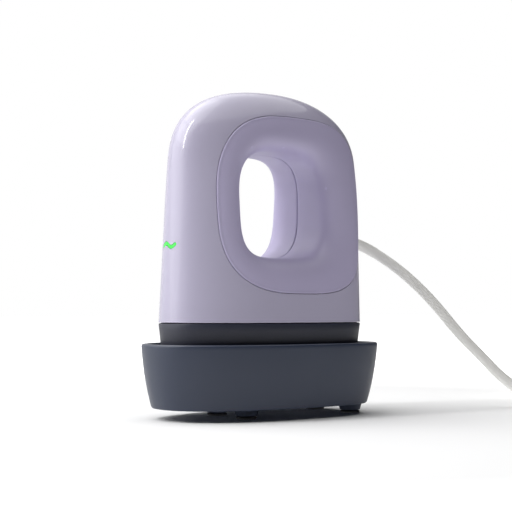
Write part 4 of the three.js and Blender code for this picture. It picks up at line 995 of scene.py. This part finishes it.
# %% [markdown]
# ## The openings of the housing
# Three openings go through the wall: a wavy slot for the light in the nose, a round bore for the
# button in the back, and one for the cord's sleeve. They could be worked into the spokes, but that
# would bend every ring near them. They are cut out afterwards by solids of their own shape.

# %% Outline of the wavy light
WAVE_MIDDLE = 1.3
WAVE_LENGTH, WAVE_SPAN, WAVE_RISE, WAVE_STROKE = 8.1, 8.9, 0.8, 1.35
WAVE_STEPS, END_STEPS = 60, 10


def round_end(a, b):
    """The points on the half circle that bulges out from a to b, without a and b."""
    middle, arm = (a + b) / 2, (a - b) / 2
    out = np.array([-arm[1], arm[0]])
    return [middle + arm * math.cos(t) + out * math.sin(t)
            for t in (math.pi * k / END_STEPS for k in range(1, END_STEPS))]


def wave_loop(half):
    """The outline of a wave with round ends, that far from its middle line on both sides."""
    upper, lower = [], []
    for i in range(WAVE_STEPS + 1):
        y = WAVE_SPAN * (i / WAVE_STEPS - 0.5)
        phase = 2 * math.pi * y / WAVE_LENGTH
        slope = 2 * math.pi * WAVE_RISE * math.cos(phase) / WAVE_LENGTH
        upward = np.array([-slope, 1]) / math.hypot(slope, 1)
        upper.append(np.array([y, WAVE_RISE * math.sin(phase)]) + upward * half)
        lower.append(np.array([y, WAVE_RISE * math.sin(phase)]) - upward * half)
    loop = lower + round_end(lower[-1], upper[-1]) + upper[::-1] + round_end(upper[0], lower[0])
    return [(WAVE_MIDDLE + y, LIGHT_Z + z) for y, z in loop]


print("wave outline:", len(wave_loop(WAVE_STROKE / 2)), "points")

# %% Cut the openings
SLOT_CLEARANCE, BUTTON_BORE, SLEEVE_BORE = 0.2, 5.2, 4.3
CUT_IN, SLOT_OUT, BORE_OUT = 6, 2, 3


def cutter(rings):
    skin = Skin()
    skin.closed_stack(rings)
    return object_from(skin, "cutter", sharp=30)


def bore(x, z, radius):
    """A cutter for a round hole in the back of the housing."""
    return cutter(turned([(x - CUT_IN, radius), (x + BORE_OUT, radius)], (0, 0, z), "X"))


def cut_away(piece, tools):
    for tool in tools:
        cut = piece.modifiers.new("cut", "BOOLEAN")
        cut.operation, cut.solver, cut.object = "DIFFERENCE", "EXACT", tool
    bpy.context.view_layer.update()
    result = bpy.data.meshes.new_from_object(piece.evaluated_get(bpy.context.evaluated_depsgraph_get()))
    piece.modifiers.clear()
    piece.data = result
    for tool in tools:
        bpy.data.objects.remove(tool)


housing = new_piece("housing", shell, lilac, "press", ("housing_shell",))
slot_outline = wave_loop(WAVE_STROKE / 2 + SLOT_CLEARANCE)
slot = cutter([[(x, y, z) for y, z in slot_outline] for x in (light_x - SLOT_OUT, light_x + CUT_IN)])
button_bore = bore(back_x(BUTTON_Z), BUTTON_Z, BUTTON_BORE)
cut_away(housing, [slot, button_bore, bore(sleeve_x, SLEEVE_Z, SLEEVE_BORE)])
shade(housing.data)
print("housing with its openings:", len(housing.data.polygons), "faces")

# %% [markdown]
# ## A gloss without ripples
# Light runs over the real housing without a break. A cut leaves long thin faces round its edge,
# and their shading directions wobble, which a glossy face shows at once. More faces would only
# make the wobbles smaller. So wherever a corner of a face lies on the form, its shading direction
# is worked out from the form's own formula.

# %% Shade the housing from its form
ON_FORM, FACING, PROBE = 2e-3, 0.9, 0.02
FOOT_ROLL_TOP, CROWN_FLAT = COLLAR_TOP + 0.4, COLLAR_TOP + BODY_HEIGHT - 0.25


def off_form(x, y, z):
    """Zero on the form, above zero outside it and below zero inside it."""
    front, rear, side, nose_power, back_power = section(z - COLLAR_TOP)
    end, power = (front, nose_power) if x < WIDEST_X else (rear, back_power)
    return (abs(x - WIDEST_X) / max(end, HARDLY_ANY)) ** power + (abs(y) / max(side, HARDLY_ANY)) ** power - 1


def form_direction(x, y, z):
    """The direction straight out of the form at a point on it, or None for a point off it."""
    if z > CROWN_FLAT:
        return Vector((0, 0, 1))
    if z <= FOOT_ROLL_TOP or abs(off_form(x, y, z)) >= ON_FORM:
        return None
    return Vector((off_form(x + PROBE, y, z) - off_form(x - PROBE, y, z),
                   off_form(x, y + PROBE, z) - off_form(x, y - PROBE, z),
                   off_form(x, y, z + PROBE) - off_form(x, y, z - PROBE))).normalized()


def shade_from_form(mesh):
    directions = [form_direction(*(vertex.co / MM)) for vertex in mesh.vertices]
    shading = [tuple(corner.vector) for corner in mesh.corner_normals]
    for face in mesh.polygons:
        for corner in face.loop_indices:
            direction = directions[mesh.loops[corner].vertex_index]
            if direction is not None and face.normal.dot(direction) > FACING:
                shading[corner] = tuple(direction)
    mesh.normals_split_custom_set(shading)
    print("points shaded from the form:", sum(d is not None for d in directions), "of", len(directions))


shade_from_form(housing.data)

# %% [markdown]
# ## The light in the nose
# The light is a guide: a clear bar with the wave's outline, which carries the glow of a small
# board inside out to the nose. A flat end would stand proud of the curved nose or sink into it. So
# its face is made of rings that shrink to the wave's middle line, each laid on the nose's form.

# %% Make the light guide
GUIDE_DEPTH, FACE_RINGS, FACE_DEPTH, FACE_MARGIN, MIDDLE_HALF = 5.2, 6, 0.02, 0.1, 0.012
GUIDE_EDGE = ((0.25, 0.0), (0.14, 0.0), (0.06, -0.03))


def wave_on_nose(half, depth):
    return [(nose_x(y, z) + depth, y, z) for y, z in wave_loop(half)]


def close_middle_line(skin, loop):
    """Faces across the last, very narrow wave: a strip from end to end, and the two round ends."""
    upper_start = WAVE_STEPS + END_STEPS
    upper_end = upper_start + WAVE_STEPS
    lower, upper = loop[:WAVE_STEPS + 1], loop[upper_start:upper_end + 1][::-1]
    for i in range(WAVE_STEPS):
        skin.faces.append((lower[i], lower[i + 1], upper[i + 1], upper[i]))
    skin.faces += [tuple(loop[WAVE_STEPS:upper_start + 1]), tuple(loop[upper_end:] + loop[:1])]


guide = Skin()
inner_end = [(light_x + GUIDE_DEPTH, y, z) for y, z in wave_loop(WAVE_STROKE / 2)]
edge_rings = [wave_on_nose(WAVE_STROKE / 2 + grow, depth) for depth, grow in GUIDE_EDGE]
face_halves = [(WAVE_STROKE / 2 - FACE_MARGIN) * (1 - k / FACE_RINGS) for k in range(FACE_RINGS + 1)]
face_rings = [wave_on_nose(max(half, MIDDLE_HALF), FACE_DEPTH) for half in face_halves]
loops = guide.stack([inner_end] + edge_rings + face_rings)
guide.cap(loops[0])
close_middle_line(guide, loops[-1])
new_piece("light_window", guide, lit, "press", ("light_guide",), sharp=50)

# %% [markdown]
# ## The grips
# Each grip is a moulding of its own, so that it can have its own finish. From the seam it sinks in
# one smooth dish towards the handle's opening, where it meets the other grip in a fine line. Such
# a dish could be sculpted, but the way it catches light is what shows its shape, so it has to be
# perfectly even. From each place at the seam it follows a quarter of a superellipse, a circle that
# can be made squarer, down to the matching place at the opening.

# %% Rows of a grip
GRIP_POINTS, DISH_STEPS, INWARD_STEPS, DISH_START = 288, 48, 12, -1.5
NOSE_DISH, BACK_DISH = (11.0, 2.3), (12.5, 3.3)
MIDDLE_GAP = 0.4
# How far each row grows from the seam, and its depth under the flank: the wall and its raised edge.
WALL_ROWS = ((-0.2, 2.0), (-0.2, 0.15), (-0.22, -0.02), (-0.3, -0.13), (-0.42, -0.19), (-0.58, -0.2),
             (-0.8, -0.16), (-1.05, -0.09), (-1.3, -0.03))
# How far each row grows from the opening, and its distance from the middle: the joint of the grips.
JOINT_ROWS = ((0.07, 0.27), (0.3, 0.15), (2.0, 0.15))


def even_angles(count):
    """Angles whose places lie evenly spaced round the seam."""
    fine = np.linspace(0, 2 * math.pi, 2 * FINE_STEPS + 1)
    gaps = np.linalg.norm(np.diff([seam_edge(angle) for angle in fine], axis=0), axis=1)
    lengths = np.r_[0, np.cumsum(gaps)]
    return np.interp(np.linspace(0, lengths[-1], count, endpoint=False), lengths, fine)


def dish_point(angle, turn, inward=0.0):
    """A point of the dish, at a turn from the seam down to the opening, or on inward from there."""
    to_nose = (1 - math.cos(angle)) / 2
    deep, power = [blend_value(at_back, at_nose, to_nose) for at_back, at_nose in zip(BACK_DISH, NOSE_DISH)]
    out = 1 - math.sin(turn) ** (2 / power)
    drop = deep * (1 - max(0.0, math.cos(turn)) ** (2 / power))
    x, z = [blend_value(*ends, out) for ends in zip(hole_edge(angle), seam_edge(angle, DISH_START))]
    return (x, blend_value(flank(x, z) - drop, MIDDLE_GAP, inward), z)


def grip_rows():
    angles = even_angles(GRIP_POINTS)
    rows = []
    for grow, depth in WALL_ROWS:
        places = [seam_edge(angle, grow) for angle in angles]
        rows.append([(x, flank(x, z) - depth, z) for x, z in places])
    for k in range(DISH_STEPS + 1):
        rows.append([dish_point(angle, k / DISH_STEPS * math.pi / 2) for angle in angles])
    for k in range(1, INWARD_STEPS + 1):
        rows.append([dish_point(angle, math.pi / 2, k / INWARD_STEPS) for angle in angles])
    for grow, y in JOINT_ROWS:
        rows.append([(x, y, z) for x, z in (hole_edge(angle, grow) for angle in angles)])
    return rows


GRIP_ROWS = grip_rows()
print("grip rows:", len(GRIP_ROWS), "of", GRIP_POINTS, "points")

# %% Make the two grips
def grip(name, way, node):
    skin = Skin()
    loops = skin.stack([[(x, way * y, z) for x, y, z in row] for row in GRIP_ROWS])
    skin.join(loops[-1], loops[0])
    new_piece(name, skin, satin, "press", (node,))


grip("grip_left", -1, "grip_insert_left")
grip("grip_right", 1, "grip_insert_right")

# %% [markdown]
# ## The collar
# The collar is a dark heat-proof moulding between the housing and the plate. A web across it
# carries the electrics on hollow posts, with the screws in them. It could be a plain band, as
# nothing else of it shows, but the lifted press shows its lower edge and its inside, so it has the
# whole profile of such a part, with a low ridge on top that the housing's foot stands on.

# %% Make the collar
COLLAR_LOW, COLLAR_DRAW_IN, WEB_TOP, WEB_UNDER = 15.0, 0.1, 34.8, 32.3
FLOOR_SHARES = (0.25, 0.6)
POST_FOOT, POST_EDGE, BOARD_POST_TOP = 34.0, 0.2, 40.4
SCREW_POST = {"radius": 3.4, "bore_radius": 1.6, "bore_depth": 3.3}
BOARD_POST = {"radius": 2.6, "bore_radius": 1.3, "bore_depth": 3.4}
SCREW_POST_PLACES = ((-24, 14), (-24, -14), (34, 15), (34, -15))
BOARD_POST_PLACES = ((-17, 11), (22, -12), (-17, -11), (22, 12))


def stacked(profile, sides_inside=0.0):
    """An outline for each pair of margin and height, narrower at the sides than at the ends."""
    return [outline(z, margin, margin - sides_inside) for margin, z in profile]


def shrunk(ring, share):
    return [(WIDEST_X + (x - WIDEST_X) * share, y * share, z) for x, y, z in ring]


def close_across(skin, rings):
    """A stack of rings, closed at both ends by a flat floor that shrinks towards the middle."""
    head = [shrunk(rings[0], share) for share in FLOOR_SHARES]
    foot = [shrunk(rings[-1], share) for share in FLOOR_SHARES[::-1]]
    skin.closed_stack(head + rings + foot)


def post(x, y, foot, top, radius, bore_radius, bore_depth, count=RING_POINTS):
    """A hollow post with a small chamfer round its top."""
    profile = [(foot, radius), (top - POST_EDGE, radius), (top, radius - POST_EDGE), (top, bore_radius),
               (top - bore_depth, bore_radius)]
    return turned(profile, (x, y, 0), count=count)


collar = Skin()
collar_wall = [(-COLLAR_DRAW_IN * (COLLAR_TOP - z), z) for z in (36, 33, 30, 27, 24, 21, 18, 15.6)]
close_across(collar, stacked([
    (-2.4, WEB_TOP), (-2.4, 39.3), (-2.2, 39.52), (-1.2, 39.52), (-1.0, 39.3), (-0.45, 39.3), (-0.13, 39.17),
    (0.0, 38.85)] + collar_wall + [
    (-2.55, COLLAR_LOW + 0.15), (-2.9, COLLAR_LOW), (-4.5, COLLAR_LOW), (-4.83, COLLAR_LOW + 0.3),
    (-4.83, WEB_UNDER)]))
for x, y in SCREW_POST_PLACES:
    collar.closed_stack(post(x, y, POST_FOOT, COLLAR_TOP, **SCREW_POST))
for x, y in BOARD_POST_PLACES:
    collar.closed_stack(post(x, y, POST_FOOT, BOARD_POST_TOP, count=32, **BOARD_POST))
new_piece("collar_ring", collar, charcoal, "press", ("collar",))

# %% [markdown]
# ## The heat plate
# The plate is an aluminium casting with a non-stick face, rounded all round so that it doesn't
# crease the cloth. It stands a little lower than the collar and in from its edge, and three posts
# on its back take the screws. A flat slab would do for the small part that shows when the press
# is lifted, but its rounded lower edge is what glides over cloth, so its profile is drawn in full.

# %% Make the heat plate
PLATE_POSTS_X, PLATE_POST_FOOT, PLATE_POST_TOP = (-37, -2, 24), 16.5, 22.3

plate = Skin()
close_across(plate, stacked([
    (-4.5, 11.7), (-4.0, 11.8), (-3.7, 12.1), (-3.63, 12.5), (-3.63, 14.4), (-3.9, 14.7), (-5.2, 14.7),
    (-5.43, 14.9), (-5.43, 16.8), (-5.6, 17.0)]))
for x in PLATE_POSTS_X:
    plate.closed_stack(post(x, 0, PLATE_POST_FOOT, PLATE_POST_TOP, **SCREW_POST))
new_piece("plate", plate, coating, "press", ("heat_plate",))

# %% [markdown]
# ## The tray
# The press rests in the tray while it is hot. Its side flares outwards from the foot to a rounded
# rim, its floor lies a little above its lower edge, and four tapered feet are moulded on below.
# The flare could be a straight slope, but the real one bows out a little on its way up. It is a
# curve with three handles, at the foot, in the middle and at the rim, which the inside follows too.

# %% Make the tray with its feet
TRAY_LOW, TRAY_FLOOR, TRAY_TOP, TRAY_WALL = 4.6, 8.9, 30.9, 2.6
OUT_AT_FOOT, OUT_HALFWAY, OUT_AT_RIM = 3.2, 6.0, 7.4
FEET = [(-13.3, 10.5), (-13.3, -10.5), (42.0, 12.0), (42.0, -12.0)]
FOOT_PROFILE = [(6.9, 6.6), (6.5, 6.0), (6.0, 5.65), (5.0, 5.4), (1.7, 4.52), (1.35, 4.4), (1.2, 4.1)]


def outside(z):
    """How far the tray's outer face stands outside the outline of the collar's top."""
    t = (z - TRAY_LOW) / (TRAY_TOP - TRAY_LOW)
    handle = 2 * OUT_HALFWAY - (OUT_AT_FOOT + OUT_AT_RIM) / 2
    return (1 - t) ** 2 * OUT_AT_FOOT + 2 * t * (1 - t) * handle + t * t * OUT_AT_RIM


def inside(z):
    return outside(z) - TRAY_WALL


in_at_foot, out_at_top, in_at_top = OUT_AT_FOOT - TRAY_WALL, outside(TRAY_TOP), inside(TRAY_TOP)
under = [(in_at_foot, 6.7), (in_at_foot, 4.9), (in_at_foot + 0.3, TRAY_LOW)]
outer = [(OUT_AT_FOOT - 0.9, TRAY_LOW), (OUT_AT_FOOT - 0.35, 4.68), (OUT_AT_FOOT - 0.06, 4.95)]
outer += [(outside(z), z) for z in np.linspace(5.4, 29.9, 26)]
outer += [(outside(30.5) - 0.12, 30.45), (out_at_top - 0.45, 30.78), (out_at_top - 0.95, TRAY_TOP)]
inner = [(in_at_top + 0.75, TRAY_TOP), (in_at_top + 0.3, 30.78), (inside(30.4) + 0.04, 30.4)]
inner += [(inside(z), z) for z in np.linspace(29.8, 10.4, 20)]
inner += [(inside(9.6) - 0.12, 9.6), (inside(9.1) - 0.5, 9.08), (inside(TRAY_FLOOR) - 1.1, TRAY_FLOOR)]
tray = Skin()
close_across(tray, stacked(under + outer + inner, sides_inside=1.9))
for x, y in FEET:
    tray.closed_stack(turned(FOOT_PROFILE, (x, y, 0)))
new_piece("tray_body", tray, slate, "base", ("tray",))

# %% [markdown]
# ## The pads
# A rubber disc under each foot keeps the tray from sliding, and two silicone pads on its floor
# carry the hot plate. They could be plain discs and slabs. Such discs usually have a fine groove
# underneath, so that they grip, and such pads have ribs, so that air passes under the plate. Both
# are easy to give them, the groove as part of a turned profile and the ribs as a row of bars.

# %% Make the foot pads
PAD_PROFILE = [(0.9, 4.0), (0.8, 4.2), (0.2, 4.2), (0.0, 4.0), (0.0, 3.2), (0.18, 3.0), (0.18, 2.4),
               (0.0, 2.2)]

for number, (x, y) in enumerate(FEET, 1):
    pad = Skin()
    pad.closed_stack(turned(PAD_PROFILE, (x, y, 0)))
    new_piece(f"foot_rubber_{number}", pad, rubber, "base", (f"foot_pad_{number}",))

# %% Make the rest pads
PAD_CORNER, CORNER_STEPS = 2.5, 8
PAD_ROWS = ((9.2, 0.2), (9.4, 0.0), (11.1, 0.0), (11.25, 0.1), (11.3, 0.3), (11.3, 1.0), (11.1, 1.2))
RIB_PITCH, RIB_END, RIB_ROOM = 1.6, 1.6, 4
RIB_SECTION = ((-0.45, 11.05), (-0.3, 11.38), (0.3, 11.38), (0.45, 11.05))


def slab_ring(x, z, length, width, tight):
    """A rectangle with round corners in the plan, made smaller all round by tight."""
    corner, ring = PAD_CORNER - tight, []
    for side_x, side_y, start in ((1, 1, 0), (-1, 1, 90), (-1, -1, 180), (1, -1, 270)):
        middle_x, middle_y = side_x * (length / 2 - tight - corner), side_y * (width / 2 - tight - corner)
        for angle in [math.radians(start + 90 * k / CORNER_STEPS) for k in range(CORNER_STEPS + 1)]:
            ring.append((x + middle_x + corner * math.cos(angle), middle_y + corner * math.sin(angle), z))
    return ring


def rest_pad(name, x, length, width, node):
    skin = Skin()
    skin.closed_stack([slab_ring(x, z, length, width, tight) for z, tight in PAD_ROWS])
    ribs = int((length - RIB_ROOM) / RIB_PITCH)
    for k in range(ribs):
        rib_x, half = x + (k - (ribs - 1) / 2) * RIB_PITCH, width / 2 - RIB_END
        skin.closed_stack([[(rib_x + step, side * half, z) for step, z in RIB_SECTION] for side in (-1, 1)])
    new_piece(name, skin, silicone, "base", (node,))


rest_pad("front_rest", x=-16, length=16, width=22, node="rest_pad_front")
rest_pad("rear_rest", x=17.5, length=19, width=32, node="rest_pad_rear")

# %% [markdown]
# ## The button
# The photograph shows no button, so it stands where such presses have it: on the back of the
# handle, above the cord, where the thumb reaches it. Its cap is dished to hold the thumb, and a
# flange inside the wall keeps it from falling out. All of it is round, so one turned profile does
# it. It rides on a body of its own, because it moves in when it is pressed.

# %% Make the button
button = Skin()
face, stop = back_x(BUTTON_Z) + 0.4, back_x(BUTTON_Z, WALL) - WALL_CLEARANCE
stem = [(stop - 3.8, 0), (stop - 3.8, 1.9), (stop - 3.7, 2.0), (stop - 1.6, 2.0)]
flange = [(stop - 1.6, 6.1), (stop - 1.5, 6.2), (stop, 6.2), (stop, 5.0)]
rim = [(face - 0.45, 5.0), (face - 0.2, 4.93), (face - 0.05, 4.75), (face, 4.5), (face - 0.06, 4.2)]
dish = [(face - 0.25, 3.2), (face - 0.38, 2.0), (face - 0.44, 1.0), (face - 0.45, 0)]
button.closed_stack(turned(stem + flange + rim + dish, (0, 0, BUTTON_Z), "X", count=72))
new_piece("button_cap", button, lilac, "button", ("power_button",))

# %% [markdown]
# ## What stays from the measured model
# The electrics and fixings inside have their right shapes in the measured model already, and
# modelling them again would add nothing. They stay, and only take the finish of the real thing:
# bare steel, green board lacquer, moulded cases. Each one's slot in the record says which.

# %% Give the inner parts their finishes
FINISHES = {
    "steel": steel, "sheet_metal": sheet, "fibre_board": fibre, "circuit_board": lacquer,
    "black_plastic": black, "blue_plastic": blue, "green_plastic": green, "cord_plastic": vinyl,
    "brass": brass, "light": lit, "housing_plastic": lilac, "grip_plastic": satin,
    "collar_plastic": charcoal, "tray_plastic": slate, "foot_rubber": rubber, "pad_silicone": silicone,
    "plate_coating": coating}

for part in frame["record"]["subparts"]:
    for material_slot in frame["nodes"][part["node"]].material_slots:
        material_slot.link = "OBJECT"
        material_slot.material = FINISHES[part["material_slot"]]
